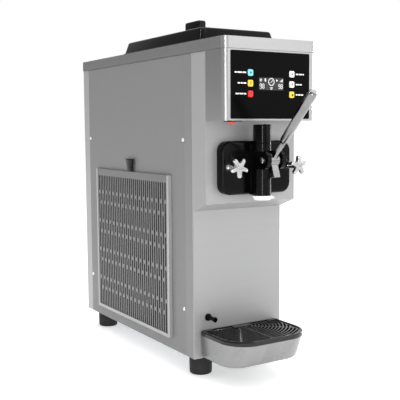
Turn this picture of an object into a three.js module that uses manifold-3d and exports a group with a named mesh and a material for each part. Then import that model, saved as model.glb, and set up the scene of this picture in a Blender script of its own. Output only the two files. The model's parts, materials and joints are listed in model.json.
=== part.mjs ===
// Countertop soft-serve ice cream machine, one flavour, air cooled.
// Millimetres, +Z up, +X to the right of someone facing the front, front face towards -Y.
// While modelling, y = 0 is the lower front panel and z = 0 is the worktop; the last lines move the
// group so that its origin is at the centre of its footprint, on the worktop.

import * as THREE from 'three';
import { mergeVertices } from 'three/addons/utils/BufferGeometryUtils.js';
import Module from 'manifold-3d';

const wasm = await Module();
wasm.setup();

// ---------------------------------------------------------------- driving dimensions

// casing
const casingWidth = 230;
const casingDepth = 570;
const casingTop = 722;
const footHeight = 45.6;
const footRadius = 26;
const footInset = 41;
const sheet = 1.5;
const gap = 0.3;
const sideFlangeDepth = 33;
const rearFlangeDepth = 32;

// top deck
const deckHeight = 23.5;
const deckOverhang = 2;
const deckWall = 2.4;
const deckCorner = 13;
const deckRearCorner = 4;

// control cowl, measured from the deck down and from the lower front panel forward
const cowlHeight = 141.5;
const cowlReach = 118;
const cowlCorner = 11;
const fasciaSideMargin = 16;
const fasciaEndMargin = 3.5;
const fasciaThickness = 1.2;
const displayHalf = 31.7;
const displayDrop = 51;
const displayHeight = 26.5;
const buttonSize = 12.6;
const buttonColumn = 52.3;
const buttonPitch = 21;
const buttonDrop = 43;
const buttonTravel = 1;
const boardSetback = 13;
const boardThickness = 1.6;

// power switch, under the cowl
const rockerSideMargin = 30;
const rockerFrontMargin = 12;
const rockerLength = 22;
const rockerWidth = 11;
const rockerTilt = 20;
const rockerPivotRise = 3.2;
const switchBodyLength = 29;
const switchBodyWidth = 14;

// front panel: the upper part stands forward of the lower part and meets it in a bevel
const headPanelReach = 50;
const bevelRise = 18.5;
const bevelBelowHead = 93;

// dispensing head, hung below the cowl
const headDrop = 97.2;
const headPlateWidth = 177;
const headPlateHeight = 111.5;
const headPlateThickness = 20.5;
const headPlateCorner = 22;
const columnRadius = 19;
const columnReach = 38;
const pistonRadius = 12;
const pistonClearance = 0.4;
const earThickness = 10;
const earGap = 28;
const earRadius = 18.7;
const pivotForward = 72;
const pivotRise = 16.5;
const pivotPinRadius = 4;
const valveCapHeight = 38.2;
const pistonHeight = 118;
const fingerSlot = 5;
const passageRadius = 7;
const nozzleHeight = 9.5;
const nozzleRadius = 21;

// draw handle; the stub's corners are [y, z] about the pivot
const handleLean = 44;
const hubRadius = 13;
const neckLength = 56;
const neckRadius = 6;
const gripLength = 130;
const gripRadius = 9;
const fingerRestAngle = -20;
const fingerThickness = 6;
const handleTravel = 40;
const stubCorners = [
  [-9, -7],
  [7, -9],
  [-4, -37],
  [-18, -34],
];
const stubHalf = 8;
const stubClearance = 0.8;

// head fasteners
const knobSpacing = 151;
const knobRise = 3;
const knobReach = 64;
const knobRadius = 21;
const knobThickness = 9;
const knobArms = 5;
const knobArmWidth = 8;
const knobBossRadius = 7.5;
const studRadius = 4;

// freezing cylinder, along Y behind the head
const cylinderRadius = 47;
const cylinderWall = 3;
const cylinderLength = 285;
const jacketHalf = 72;
const shaftRadius = 8;

// hopper and lid
const hopperFrontMargin = 12;
const hopperLength = 325;
const hopperSideMargin = 36;
const hopperWall = 1.6;
const hopperAboveJacket = 24;
const hopperFlange = 10;
const lidSkirt = 11;
const lidHeight = 31;
const lidWall = 3;
const lidHandleLength = 62;
const lidHandleWidth = 22;
const lidHandleHeight = 37;
const feedRadius = 10;
const feedFromFront = 48;

// air filter on the left side
const filterFront = 93;
const filterRearMargin = 90;
const filterBottomMargin = 26.4;
const filterHeight = 367;
const filterThickness = 5;
const pocketWall = 0.8;
const pocketLip = 8;
const filterBorder = 11;
const windowEdge = 17;
const slotPitch = 31.2;
const slotWidth = 14;
const slotRows = 4;
const slotBridge = 6;

// drip tray
const trayWidth = 203;
const trayReach = 137.5;
const trayTop = 108;
const trayRimHeight = 10;
const trayBottom = 46;
const trayFrontCorner = 58;
const trayTaper = 5;
const trayFrontTaper = 27;
const trayWall = 1.6;
const trayHookOffset = 62;
const trayHookWidth = 14;
const trayHookHeight = 8;
const spoutOffset = 80;
const spoutHeight = 134.5;
const spoutRadius = 4.5;
const spoutBore = 3;
const spoutReach = 30;

// machinery
const condenserThickness = 34;
const fanRadius = 88;
const compressorRadius = 58;
const compressorHeight = 150;
const motorRadius = 38;
const motorLength = 120;
const gearboxLength = 56;
const gearboxHalf = 46;
const beltWidth = 8;
const beltThickness = 5;
const largePulleyRadius = 42;
const smallPulleyRadius = 17;
const beltCentres = 112;
const beltOffset = 28;
const pulleyGrooveDepth = 4.5;
const driveShaftRadius = 6;
const fanShaftRadius = 4;
const glandRadius = 7;
const glandBore = 3.6;
const glandSideMargin = 45;
const glandRise = 50;

// ---------------------------------------------------------------- derived places

const halfWidth = casingWidth / 2;
const deckBottom = casingTop - deckHeight;
const panelTop = deckBottom - gap;
const cowlBottom = deckBottom - cowlHeight;
const headCentre = cowlBottom - headDrop;
const bevelBottom = headCentre - bevelBelowHead;
const bevelTop = bevelBottom + bevelRise;
const panelFront = -headPanelReach;
const fasciaTop = deckBottom - fasciaEndMargin;
const fasciaBottom = cowlBottom + fasciaEndMargin;
const fasciaBack = -cowlReach - gap;
const fasciaFront = fasciaBack - fasciaThickness;
const fasciaHalf = halfWidth - fasciaSideMargin;
const displayTop = fasciaTop - displayDrop;
const displayBottom = displayTop - displayHeight;
const buttonHeights = [0, 1, 2].map((row) => fasciaTop - buttonDrop - row * buttonPitch);
const boardFront = -cowlReach + boardSetback;
const rockerX = -halfWidth + rockerSideMargin;
const rockerY = -cowlReach + rockerFrontMargin;
const rockerPivotZ = cowlBottom + rockerPivotRise;
const headBack = panelFront - 0.5;
const headFront = headBack - headPlateThickness;
const columnY = panelFront - columnReach;
const pivotY = panelFront - pivotForward;
const pivotZ = headCentre + pivotRise;
const columnBottom = headCentre - headPlateHeight / 2 - 2;
const columnTop = headCentre + headPlateHeight / 2 - 4.5;
const boreRadius = pistonRadius + pistonClearance;
const pistonBottom = columnBottom + 2;
const fingerReach = pivotForward - columnReach;
const pistonPocketRise = fingerReach * Math.sin(THREE.MathUtils.degToRad(fingerRestAngle));
const knobZ = headCentre + knobRise;
const jacketTop = headCentre + jacketHalf;
const shelfTop = headCentre - jacketHalf - gap;
const shelfThickness = 3;
const shelfBottom = shelfTop - shelfThickness;
const cylinderFront = panelFront - 0.2;
const cylinderBack = cylinderFront + cylinderLength;
const hopperBottom = jacketTop + hopperAboveJacket;
const hopperHalf = halfWidth - hopperSideMargin;
const hopperFront = hopperFrontMargin;
const hopperBack = hopperFront + hopperLength;
const hopperRimTop = casingTop + gap + hopperWall;
const feedY = hopperFront + feedFromFront;
const filterBack = casingDepth - filterRearMargin;
const filterBottom = footHeight + filterBottomMargin;
const filterTop = filterBottom + filterHeight;
const filterInnerX = -halfWidth - deckOverhang - gap;
const filterOuterX = filterInnerX - filterThickness;
const pocketOuter = filterOuterX - gap - pocketWall;
const filterY0 = filterFront + pocketWall + gap;
const filterY1 = filterBack - pocketWall - gap;
const filterZ0 = filterBottom + pocketWall + gap;
const windowTop = Math.min(filterTop, shelfBottom) - windowEdge / 2;
const floorTop = footHeight + gap + sheet;
const gearboxFront = cylinderBack + 6;
const gearboxBack = gearboxFront + gearboxLength;
const beltY = gearboxBack + 16;
const inputZ = headCentre - 16;
const motorZ = inputZ - beltCentres;
const condenserX0 = -halfWidth + sheet + 5;
const condenserX1 = condenserX0 + condenserThickness;
const coolingY0 = filterFront + 19;
const coolingY1 = filterBack - 19;
const coolingZ0 = floorTop + 42;
const coolingZ1 = shelfBottom - 8;
const fanY = (coolingY0 + coolingY1) / 2;
const fanZ = (coolingZ0 + coolingZ1) / 2;
const shroudX = condenserX1 + 3;
const compressorX = halfWidth - compressorRadius - 12;
const compressorY = casingDepth - compressorRadius - 38;
const glandX = halfWidth - glandSideMargin;
const glandZ = footHeight + glandRise;
const trayHookTop = trayTop - 4;
const trayRimBottom = trayTop - trayRimHeight;

// ---------------------------------------------------------------- shape helpers

// A closed geometry as a solid that can be cut and joined.
function solid(geometry) {
  const bare = geometry.clone();
  bare.deleteAttribute('normal');
  bare.deleteAttribute('uv');
  const merged = mergeVertices(bare, 1e-4);
  const mesh = new wasm.Mesh({
    numProp: 3,
    vertProperties: new Float32Array(merged.attributes.position.array),
    triVerts: new Uint32Array(merged.index.array),
  });
  return new wasm.Manifold(mesh);
}

function geometryOf(manifold) {
  const mesh = manifold.getMesh();
  const geometry = new THREE.BufferGeometry();
  geometry.setAttribute('position', new THREE.BufferAttribute(mesh.vertProperties, 3));
  geometry.setIndex(new THREE.BufferAttribute(mesh.triVerts, 1));
  geometry.computeVertexNormals();
  return geometry;
}

// The first geometry with each of the others joined on.
function join(...geometries) {
  const solids = geometries.map(solid);
  return geometryOf(solids.reduce((whole, next) => whole.add(next)));
}

// The first geometry with each of the others cut out.
function cut(base, ...tools) {
  return geometryOf(tools.reduce((rest, tool) => rest.subtract(solid(tool)), solid(base)));
}

// A box given by its lowest and highest values along each axis.
function box(x0, x1, y0, y1, z0, z1) {
  const geometry = new THREE.BoxGeometry(x1 - x0, y1 - y0, z1 - z0);
  return geometry.translate((x0 + x1) / 2, (y0 + y1) / 2, (z0 + z1) / 2);
}

// An outline in X and Y, raised from z0 to z1.
function raise(shape, z0, z1, segments = 4) {
  const options = { depth: z1 - z0, bevelEnabled: false, curveSegments: segments };
  return new THREE.ExtrudeGeometry(shape, options).translate(0, 0, z0);
}

// An outline in Y and Z, stretched from x0 to x1.
function stretchX(shape, x0, x1, segments = 4) {
  const options = { depth: x1 - x0, bevelEnabled: false, curveSegments: segments };
  const turn = new THREE.Matrix4().makeBasis(
    new THREE.Vector3(0, 1, 0),
    new THREE.Vector3(0, 0, 1),
    new THREE.Vector3(1, 0, 0),
  );
  return new THREE.ExtrudeGeometry(shape, options).applyMatrix4(turn).translate(x0, 0, 0);
}

// An outline in X and Z, stretched from y0 to y1.
function stretchY(shape, y0, y1, segments = 4) {
  const options = { depth: y1 - y0, bevelEnabled: false, curveSegments: segments };
  const turn = new THREE.Matrix4().makeRotationX(Math.PI / 2);
  return new THREE.ExtrudeGeometry(shape, options).applyMatrix4(turn).translate(0, y1, 0);
}

function rodX(radius, x0, x1, y, z, segments = 24) {
  const geometry = new THREE.CylinderGeometry(radius, radius, x1 - x0, segments);
  return geometry.rotateZ(-Math.PI / 2).translate((x0 + x1) / 2, y, z);
}

function rodY(radius, y0, y1, x, z, segments = 24) {
  const geometry = new THREE.CylinderGeometry(radius, radius, y1 - y0, segments);
  return geometry.translate(x, (y0 + y1) / 2, z);
}

function rodZ(radius, z0, z1, x, y, segments = 24) {
  const geometry = new THREE.CylinderGeometry(radius, radius, z1 - z0, segments);
  return geometry.rotateX(Math.PI / 2).translate(x, y, (z0 + z1) / 2);
}

// A closed outline through straight-line points.
function polygon(points) {
  return new THREE.Shape(points.map(([u, v]) => new THREE.Vector2(u, v)));
}

// A rectangle whose corners are arcs; radii go lower-left, lower-right, upper-right, upper-left.
function roundRect(u0, u1, v0, v1, radii) {
  const [a, b, c, d] = Array.isArray(radii) ? radii : [radii, radii, radii, radii];
  const shape = new THREE.Shape();
  shape.moveTo(u0 + a, v0);
  shape.lineTo(u1 - b, v0);
  if (b > 0) shape.absarc(u1 - b, v0 + b, b, -Math.PI / 2, 0, false);
  shape.lineTo(u1, v1 - c);
  if (c > 0) shape.absarc(u1 - c, v1 - c, c, 0, Math.PI / 2, false);
  shape.lineTo(u0 + d, v1);
  if (d > 0) shape.absarc(u0 + d, v1 - d, d, Math.PI / 2, Math.PI, false);
  shape.lineTo(u0, v0 + a);
  if (a > 0) shape.absarc(u0 + a, v0 + a, a, Math.PI, 1.5 * Math.PI, false);
  return shape;
}

// A skin through outlines of equal point count, each given as [shape, z], closed at both ends.
function loft(sections, segments = 4) {
  const rings = sections.map(([shape, z]) => {
    const all = shape.extractPoints(segments).shape;
    const points = all.filter((point, i) => point.distanceTo(all[(i + 1) % all.length]) > 1e-6);
    return { points, z };
  });
  const count = rings[0].points.length;
  const positions = rings.flatMap(({ points, z }) => points.flatMap((point) => [point.x, point.y, z]));
  const index = [];
  for (let level = 0; level < rings.length - 1; level += 1) {
    for (let i = 0; i < count; i += 1) {
      const a = level * count + i;
      const b = level * count + ((i + 1) % count);
      index.push(a, b, b + count, a, b + count, a + count);
    }
  }
  const top = (rings.length - 1) * count;
  for (const [a, b, c] of THREE.ShapeUtils.triangulateShape(rings[0].points, [])) {
    index.push(c, b, a);
  }
  for (const [a, b, c] of THREE.ShapeUtils.triangulateShape(rings[rings.length - 1].points, [])) {
    index.push(top + a, top + b, top + c);
  }
  const geometry = new THREE.BufferGeometry();
  geometry.setAttribute('position', new THREE.Float32BufferAttribute(positions, 3));
  geometry.setIndex(index);
  return geometry;
}

// A solid of revolution about Z from [radius, height] points that start and end on the axis.
function turned(points, segments = 24) {
  const profile = points.map(([radius, height]) => new THREE.Vector2(radius, height));
  return new THREE.LatheGeometry(profile, segments).rotateX(Math.PI / 2);
}

// A bent pipe of round section through [x, y, z] points.
function pipe(points, radius, steps, sides = 8) {
  const curve = new THREE.CatmullRomCurve3(points.map(([x, y, z]) => new THREE.Vector3(x, y, z)));
  const section = new THREE.Shape();
  section.absarc(0, 0, radius, 0, 2 * Math.PI, false);
  const options = { steps, extrudePath: curve, curveSegments: sides / 2, bevelEnabled: false };
  return new THREE.ExtrudeGeometry(section, options);
}

// ---------------------------------------------------------------- finishes

const finishes = {
  steel: { color: 0xb9babb, roughness: 0.35, metalness: 0.9 },
  polished: { color: 0xd8d9da, roughness: 0.12, metalness: 1.0 },
  galvanised: { color: 0x9fa3a6, roughness: 0.5, metalness: 0.8 },
  copper: { color: 0xb4693f, roughness: 0.35, metalness: 1.0 },
  aluminium: { color: 0xaeb2b5, roughness: 0.45, metalness: 0.9 },
  enamel: { color: 0x1c1d1f, roughness: 0.4, metalness: 0.3 },
  black: { color: 0x0d0d0e, roughness: 0.35, metalness: 0.0 },
  glossBlack: { color: 0x08080a, roughness: 0.08, metalness: 0.0 },
  rubber: { color: 0x141414, roughness: 0.85, metalness: 0.0 },
  white: { color: 0xf2f2ef, roughness: 0.4, metalness: 0.0 },
  foam: { color: 0xd9c48a, roughness: 0.95, metalness: 0.0 },
  green: { color: 0x1f5b34, roughness: 0.5, metalness: 0.1 },
  cyan: { color: 0x7fd0ec, roughness: 0.3, metalness: 0.0 },
  yellow: { color: 0xf3c61e, roughness: 0.3, metalness: 0.0 },
  red: { color: 0xd8161b, roughness: 0.3, metalness: 0.0 },
};

const machine = new THREE.Group();

// Adds one named piece to the machine.
function add(name, geometry, finish, position = [0, 0, 0]) {
  const mesh = new THREE.Mesh(geometry, new THREE.MeshStandardMaterial(finishes[finish]));
  mesh.name = name;
  mesh.position.set(...position);
  machine.add(mesh);
  return mesh;
}

// ---------------------------------------------------------------- casing

function addBasePan() {
  const inset = sheet + 2 * gap;
  const lip = 15;
  const bottom = footHeight + gap;
  const outer = box(-halfWidth + inset, halfWidth - inset, inset, casingDepth - inset, bottom, bottom + lip);
  const hollow = box(
    -halfWidth + inset + sheet,
    halfWidth - inset - sheet,
    inset + sheet,
    casingDepth - inset - sheet,
    floorTop,
    bottom + lip + 1,
  );
  add('base_pan', cut(outer, hollow), 'galvanised');
}

function addFeet() {
  const profile = [
    [0, 0],
    [footRadius - 3, 0],
    [footRadius - 1, 2.5],
    [footRadius, footHeight - 5],
    [footRadius, footHeight - 2 * gap],
    [0, footHeight - 2 * gap],
  ];
  const foot = geometryOf(solid(turned(profile, 24)));
  for (const [side, x] of [['left', -halfWidth + footInset], ['right', halfWidth - footInset]]) {
    add(`foot_front_${side}`, foot.clone(), 'rubber', [x, footInset, 0]);
    add(`foot_rear_${side}`, foot.clone(), 'rubber', [x, casingDepth - footInset, 0]);
  }
}

// Rows and columns of slots in a panel, as cutting boxes from place(column, row).
function grid(columns, rows, place) {
  const tools = [];
  for (let column = 0; column < columns; column += 1) {
    for (let row = 0; row < rows; row += 1) tools.push(place(column, row));
  }
  return tools;
}

function addSidePanels() {
  const front = sideFlangeDepth + gap;
  const back = casingDepth - rearFlangeDepth - gap;
  const left = box(-halfWidth, -halfWidth + sheet, front, back, footHeight, panelTop);
  const window = box(
    -halfWidth - 1,
    -halfWidth + sheet + 1,
    filterFront + windowEdge,
    filterBack - windowEdge,
    filterBottom + windowEdge,
    windowTop,
  );
  add('left_side_panel', cut(left, window), 'steel');

  const right = box(halfWidth - sheet, halfWidth, front, back, footHeight, panelTop);
  const ventPitch = 24;
  const ventLength = 90;
  const columns = Math.floor((filterBack - filterFront - 2 * windowEdge) / ventPitch);
  const vents = grid(columns, 2, (column, row) => {
    const y = filterFront + windowEdge + column * ventPitch;
    const z = filterBottom + 2 * windowEdge + row * (ventLength + ventPitch);
    return box(halfWidth - sheet - 1, halfWidth + 1, y, y + 9, z, z + ventLength);
  });
  add('right_side_panel', cut(right, ...vents), 'steel');
}

function addRearPanel() {
  const front = casingDepth - rearFlangeDepth;
  const outer = box(-halfWidth, halfWidth, front, casingDepth, footHeight, panelTop);
  const hollow = box(
    -halfWidth + sheet,
    halfWidth - sheet,
    front - 1,
    casingDepth - sheet,
    footHeight - 1,
    panelTop + 1,
  );
  const ventPitch = 16;
  const ventEdge = 30;
  const rows = 12;
  const vents = grid(1, rows, (column, row) => {
    const z = cowlBottom - ventEdge - row * ventPitch;
    return box(-halfWidth + ventEdge, halfWidth - ventEdge, casingDepth - 5, casingDepth + 1, z - 6, z);
  });
  const inlet = rodY(glandRadius + gap, casingDepth - 5, casingDepth + 1, glandX, glandZ, 20);
  add('rear_panel', cut(outer, hollow, inlet, ...vents), 'steel');
}

// The power inlet's gland: a threaded body through the rear panel with a flange outside.
function addCableGland() {
  const body = rodY(glandRadius, casingDepth - 16, casingDepth + 14, glandX, glandZ, 20);
  const flange = rodY(glandRadius + 4, casingDepth + gap, casingDepth + 6, glandX, glandZ, 6);
  const bore = rodY(glandBore, casingDepth - 17, casingDepth + 15, glandX, glandZ, 16);
  add('cable_gland', cut(join(body, flange), bore), 'black');
}

// The side view of the front panel, moved back by the given distance square to each face.
function frontProfile(inset, backEdge, below, above) {
  const length = Math.hypot(headPanelReach, bevelRise);
  const normalY = bevelRise / length;
  const normalZ = headPanelReach / length;
  const rise = (inset * (1 - normalY)) / normalZ;
  return polygon([
    [backEdge, footHeight - below],
    [backEdge, panelTop + above],
    [panelFront + inset, panelTop + above],
    [panelFront + inset, bevelTop + rise],
    [inset, bevelBottom + rise],
    [inset, footHeight - below],
  ]);
}

function addFrontPanel() {
  const outer = stretchX(frontProfile(0, sideFlangeDepth, 0, 0), -halfWidth, halfWidth);
  const hollow = stretchX(
    frontProfile(sheet, sideFlangeDepth + 1, 1, 1),
    -halfWidth + sheet,
    halfWidth - sheet,
  );
  const front = panelFront - 1;
  const behind = panelFront + sheet + 1;
  const cylinderHole = rodY(cylinderRadius + cylinderWall + 1, front, behind, 0, headCentre, 32);
  const studs = [-1, 1].map((side) => {
    return rodY(studRadius + 1, front, behind, (side * knobSpacing) / 2, knobZ, 12);
  });
  const cableHole = box(-30, 30, front, behind, cowlBottom + 40, cowlBottom + 90);
  const drain = rodY(spoutRadius + 1.5, -1, sheet + 1, -spoutOffset, spoutHeight, 16);
  const hooks = [-1, 1].map((side) => {
    const x = side * trayHookOffset;
    const half = trayHookWidth / 2 + 0.5;
    return box(x - half, x + half, -1, sheet + 1, trayHookTop - trayHookHeight - 0.5, trayHookTop + 0.5);
  });
  add('front_panel', cut(outer, hollow, cylinderHole, cableHole, drain, ...studs, ...hooks), 'steel');
}

function cowlOutline(inset, backEdge) {
  const radius = cowlCorner - inset;
  const half = halfWidth - inset;
  return roundRect(-half, half, -cowlReach + inset, backEdge, [radius, radius, 0, 0]);
}

function addControlCowl() {
  const back = panelFront - gap;
  const outer = raise(cowlOutline(0, back), cowlBottom, panelTop, 8);
  const hollow = raise(cowlOutline(sheet, back + 1), cowlBottom + sheet, panelTop + 1, 8);
  const inner = fasciaSideMargin + 8;
  const window = box(
    -halfWidth + inner,
    halfWidth - inner,
    -cowlReach - 1,
    -cowlReach + sheet + 1,
    cowlBottom + fasciaEndMargin + 6,
    panelTop - fasciaEndMargin - 6,
  );
  const switchHole = box(
    rockerX - switchBodyLength / 2 - gap,
    rockerX + switchBodyLength / 2 + gap,
    rockerY - switchBodyWidth / 2 - gap,
    rockerY + switchBodyWidth / 2 + gap,
    cowlBottom - 1,
    cowlBottom + sheet + 1,
  );
  add('control_cowl', cut(outer, hollow, window, switchHole), 'steel');
}

function deckOutline(inset) {
  const front = deckCorner - inset;
  return roundRect(
    -halfWidth - deckOverhang + inset,
    halfWidth + deckOverhang - inset,
    -cowlReach - deckOverhang + inset,
    casingDepth + deckOverhang - inset,
    [front, front, deckRearCorner, deckRearCorner],
  );
}

function addTopDeck() {
  const outer = raise(deckOutline(0), deckBottom, casingTop, 8);
  const hollow = raise(deckOutline(deckWall), deckBottom - 1, casingTop - deckWall, 8);
  const clearance = 1.2;
  const opening = raise(
    roundRect(
      -hopperHalf - clearance,
      hopperHalf + clearance,
      hopperFront - clearance,
      hopperBack + clearance,
      12 + clearance,
    ),
    casingTop - deckWall - 1,
    casingTop + 1,
    2,
  );
  add('top_deck', cut(outer, hollow, opening), 'steel');
}

// ---------------------------------------------------------------- controls

function addFascia() {
  const plate = box(-fasciaHalf, fasciaHalf, fasciaFront, fasciaBack, fasciaBottom, fasciaTop);
  const window = box(
    -displayHalf,
    displayHalf,
    fasciaFront - 1,
    fasciaBack + 1,
    displayBottom,
    displayTop,
  );
  const half = buttonSize / 2 + gap;
  const holes = grid(2, 3, (column, row) => {
    const x = (column === 0 ? -1 : 1) * buttonColumn;
    const z = buttonHeights[row];
    return box(x - half, x + half, fasciaFront - 1, fasciaBack + 1, z - half, z + half);
  });
  add('control_fascia', cut(plate, window, ...holes), 'glossBlack');
}

function addDisplay() {
  const front = box(
    -displayHalf + gap,
    displayHalf - gap,
    fasciaBack - fasciaThickness * 0.6,
    fasciaBack + 2,
    displayBottom + gap,
    displayTop - gap,
  );
  const body = box(
    -displayHalf - 4,
    displayHalf + 4,
    fasciaBack + gap,
    boardFront - gap,
    displayBottom - 4,
    displayTop + 4,
  );
  add('display_module', join(front, body), 'enamel');
}

function addButtons() {
  const colours = { left: ['cyan', 'yellow', 'red'], right: ['white', 'white', 'yellow'] };
  const names = ['top', 'middle', 'bottom'];
  const half = buttonSize / 2;
  const flange = half + 1.5;
  const proud = 1.4;
  const cap = raise(roundRect(-half, half, -half, half, 2.5), 0, 1, 1);
  cap.scale(1, 1, proud + fasciaThickness + 4).rotateX(Math.PI / 2).translate(0, 4, 0);
  for (const [side, sign] of [['left', -1], ['right', 1]]) {
    buttonHeights.forEach((z, row) => {
      const collar = box(-flange, flange, 0.6 + buttonTravel * 0.3, 3, -flange, flange);
      const stemEnd = boardFront - fasciaBack - buttonTravel - 2 * gap;
      const stem = rodY(3, 2, stemEnd, 0, 0, 8);
      const geometry = join(cap, collar, stem);
      add(`button_${side}_${names[row]}`, geometry, colours[side][row], [sign * buttonColumn, fasciaBack, z]);
    });
  }
}

function addControlBoard() {
  const edge = 10;
  const boardDrop = 24;
  const board = box(
    -fasciaHalf + edge,
    fasciaHalf - edge,
    boardFront,
    boardFront + boardThickness,
    fasciaBottom + boardDrop,
    fasciaTop - edge,
  );
  const holes = grid(2, 2, (column, row) => {
    const x = (column === 0 ? -1 : 1) * (fasciaHalf - edge - 5);
    const z = row === 0 ? fasciaBottom + boardDrop + 5 : fasciaTop - edge - 5;
    return rodY(1.6, boardFront - 1, boardFront + boardThickness + 1, x, z, 8);
  });
  add('control_board', cut(board, ...holes), 'green');
}

// The power rocker's housing and the red rocker that tips in it about a pin along Y.
function addPowerSwitch() {
  const halfLength = switchBodyLength / 2;
  const halfBody = switchBodyWidth / 2;
  const body = box(
    rockerX - halfLength,
    rockerX + halfLength,
    rockerY - halfBody,
    rockerY + halfBody,
    cowlBottom - 1,
    cowlBottom + 20,
  );
  const bezel = box(
    rockerX - halfLength - 2,
    rockerX + halfLength + 2,
    rockerY - halfBody - 2,
    rockerY + halfBody + 2,
    cowlBottom - gap - 1.6,
    cowlBottom - gap,
  );
  const well = box(
    rockerX - halfLength + 1.4,
    rockerX + halfLength - 1.4,
    rockerY - halfBody + 1.1,
    rockerY + halfBody - 1.1,
    cowlBottom - 5,
    cowlBottom + 14,
  );
  add('switch_housing', cut(join(body, bezel), well), 'black');

  const half = rockerLength / 2 - 0.5;
  const profile = polygon([
    [-half, -8],
    [half, -8],
    [half, -2.5],
    [4, 4],
    [-4, 4],
    [-half, -2.5],
  ]);
  const rocker = stretchY(profile, -rockerWidth / 2, rockerWidth / 2);
  rocker.rotateY(THREE.MathUtils.degToRad(-rockerTilt));
  add('power_rocker', geometryOf(solid(rocker)), 'red', [rockerX, rockerY, rockerPivotZ]);
}

// ---------------------------------------------------------------- dispensing head

// A lever-shaped side view: a round end about the pivot, running back to the head plate.
function earProfile(radius, holeRadius) {
  const shape = new THREE.Shape();
  shape.moveTo(headBack - 8, pivotZ - radius);
  shape.lineTo(headBack - 8, pivotZ + radius);
  shape.lineTo(pivotY, pivotZ + radius);
  shape.absarc(pivotY, pivotZ, radius, Math.PI / 2, 1.5 * Math.PI, false);
  if (holeRadius > 0) {
    const hole = new THREE.Path();
    hole.absarc(pivotY, pivotZ, holeRadius, 0, 2 * Math.PI, true);
    shape.holes.push(hole);
  }
  return shape;
}

// Room in the column's front for the stub when the handle is pulled all the way down.
function stubNotch() {
  const angle = THREE.MathUtils.degToRad(handleTravel);
  const swung = stubCorners.map(([y, z]) => [
    y * Math.cos(angle) - z * Math.sin(angle),
    y * Math.sin(angle) + z * Math.cos(angle),
  ]);
  const back = pivotY + Math.max(...swung.map(([y]) => y)) + stubClearance;
  const low = pivotZ + Math.min(...swung.map(([, z]) => z)) - stubClearance;
  const half = stubHalf + stubClearance;
  return box(-half, half, columnY - columnRadius - 2, back, low, pivotZ);
}

function addDispensingHead() {
  const halfPlate = headPlateWidth / 2;
  const low = headCentre - headPlateHeight / 2;
  const high = headCentre + headPlateHeight / 2;
  const chamfer = 3;
  const plate = loft(
    [
      [roundRect(-halfPlate, halfPlate, low, high, headPlateCorner), 0],
      [roundRect(-halfPlate, halfPlate, low, high, headPlateCorner), headPlateThickness - chamfer],
      [
        roundRect(
          -halfPlate + chamfer,
          halfPlate - chamfer,
          low + chamfer,
          high - chamfer,
          headPlateCorner - chamfer,
        ),
        headPlateThickness,
      ],
    ],
    3,
  );
  plate.rotateX(Math.PI / 2).translate(0, headBack, 0);
  const column = rodZ(columnRadius, columnBottom, columnTop, 0, columnY, 32);
  const web = box(-columnRadius, columnRadius, columnY, headFront + 2, columnBottom, columnTop);
  const ears = [-1, 1].map((side) => {
    const inner = (side * earGap) / 2;
    const outer = inner + side * earThickness;
    const profile = earProfile(earRadius, pivotPinRadius + gap);
    return stretchX(profile, Math.min(inner, outer), Math.max(inner, outer), 5);
  });
  const bore = rodZ(boreRadius, columnBottom - 1, columnTop + 1, 0, columnY, 32);
  const slot = box(
    -fingerSlot,
    fingerSlot,
    columnY - columnRadius - 2,
    columnY,
    pivotZ - 15,
    pivotZ + 15,
  );
  const capRoom = rodZ(columnRadius + 2 * gap, columnTop, columnTop + 12, 0, columnY, 32);
  const passage = rodY(passageRadius, columnY, headBack + 1, 0, columnBottom + 26, 16);
  const grooveOuter = rodY(cylinderRadius + 2.4, headBack - 1.8, headBack + 1, 0, headCentre, 32);
  const grooveCore = cylinderRadius - cylinderWall - 0.4;
  const grooveInner = rodY(grooveCore, headBack - 3, headBack + 2, 0, headCentre, 32);
  const groove = cut(grooveOuter, grooveInner);
  const studs = [-1, 1].map((side) => {
    return rodY(studRadius + 0.5, headFront - 1, headBack + 1, (side * knobSpacing) / 2, knobZ, 16);
  });
  const whole = join(plate, column, web, ...ears);
  add('dispensing_head', cut(whole, bore, slot, stubNotch(), capRoom, passage, groove, ...studs), 'black');
}

function addHeadGasket() {
  const outer = rodY(cylinderRadius + 2, headBack - 1.5, headBack + gap, 0, headCentre, 32);
  const inner = rodY(cylinderRadius - cylinderWall, headBack - 3, headBack + 2, 0, headCentre, 32);
  add('head_gasket', cut(outer, inner), 'rubber');
}

// A cap on top of the column, closed above, that the piston rises into.
function addValveCap() {
  const bottom = columnTop + gap;
  const top = bottom + valveCapHeight;
  const outer = [
    [0, bottom],
    [columnRadius, bottom],
    [columnRadius, top - 2],
    [columnRadius - 2, top],
    [0, top],
  ];
  const bore = rodZ(boreRadius, bottom - 1, top - 3, 0, columnY, 24);
  add('valve_cap', cut(turned(outer, 32).translate(0, columnY, 0), bore), 'black');
}

// The valve piston: ring grooves hold the product seals, and a pocket takes the handle's finger.
function addPiston() {
  const groove = 1.2;
  const profile = [[0, pistonBottom]];
  for (const z of [pistonBottom + 8, pistonBottom + 40, pistonBottom + pistonHeight - 14]) {
    profile.push([pistonRadius, z === pistonBottom + 8 ? pistonBottom : z - 3]);
    profile.push([pistonRadius, z]);
    profile.push([pistonRadius - groove, z]);
    profile.push([pistonRadius - groove, z + 3]);
    profile.push([pistonRadius, z + 3]);
  }
  profile.push([pistonRadius, pistonBottom + pistonHeight]);
  profile.push([0, pistonBottom + pistonHeight]);
  const body = turned(profile, 20).translate(0, columnY, 0);
  const pocketZ = pivotZ + pistonPocketRise;
  const pocket = box(
    -fingerSlot,
    fingerSlot,
    columnY - pistonRadius - 1,
    columnY + 6,
    pocketZ - 9,
    pocketZ + 9,
  );
  add('valve_piston', cut(body, pocket), 'white');
}

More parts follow.
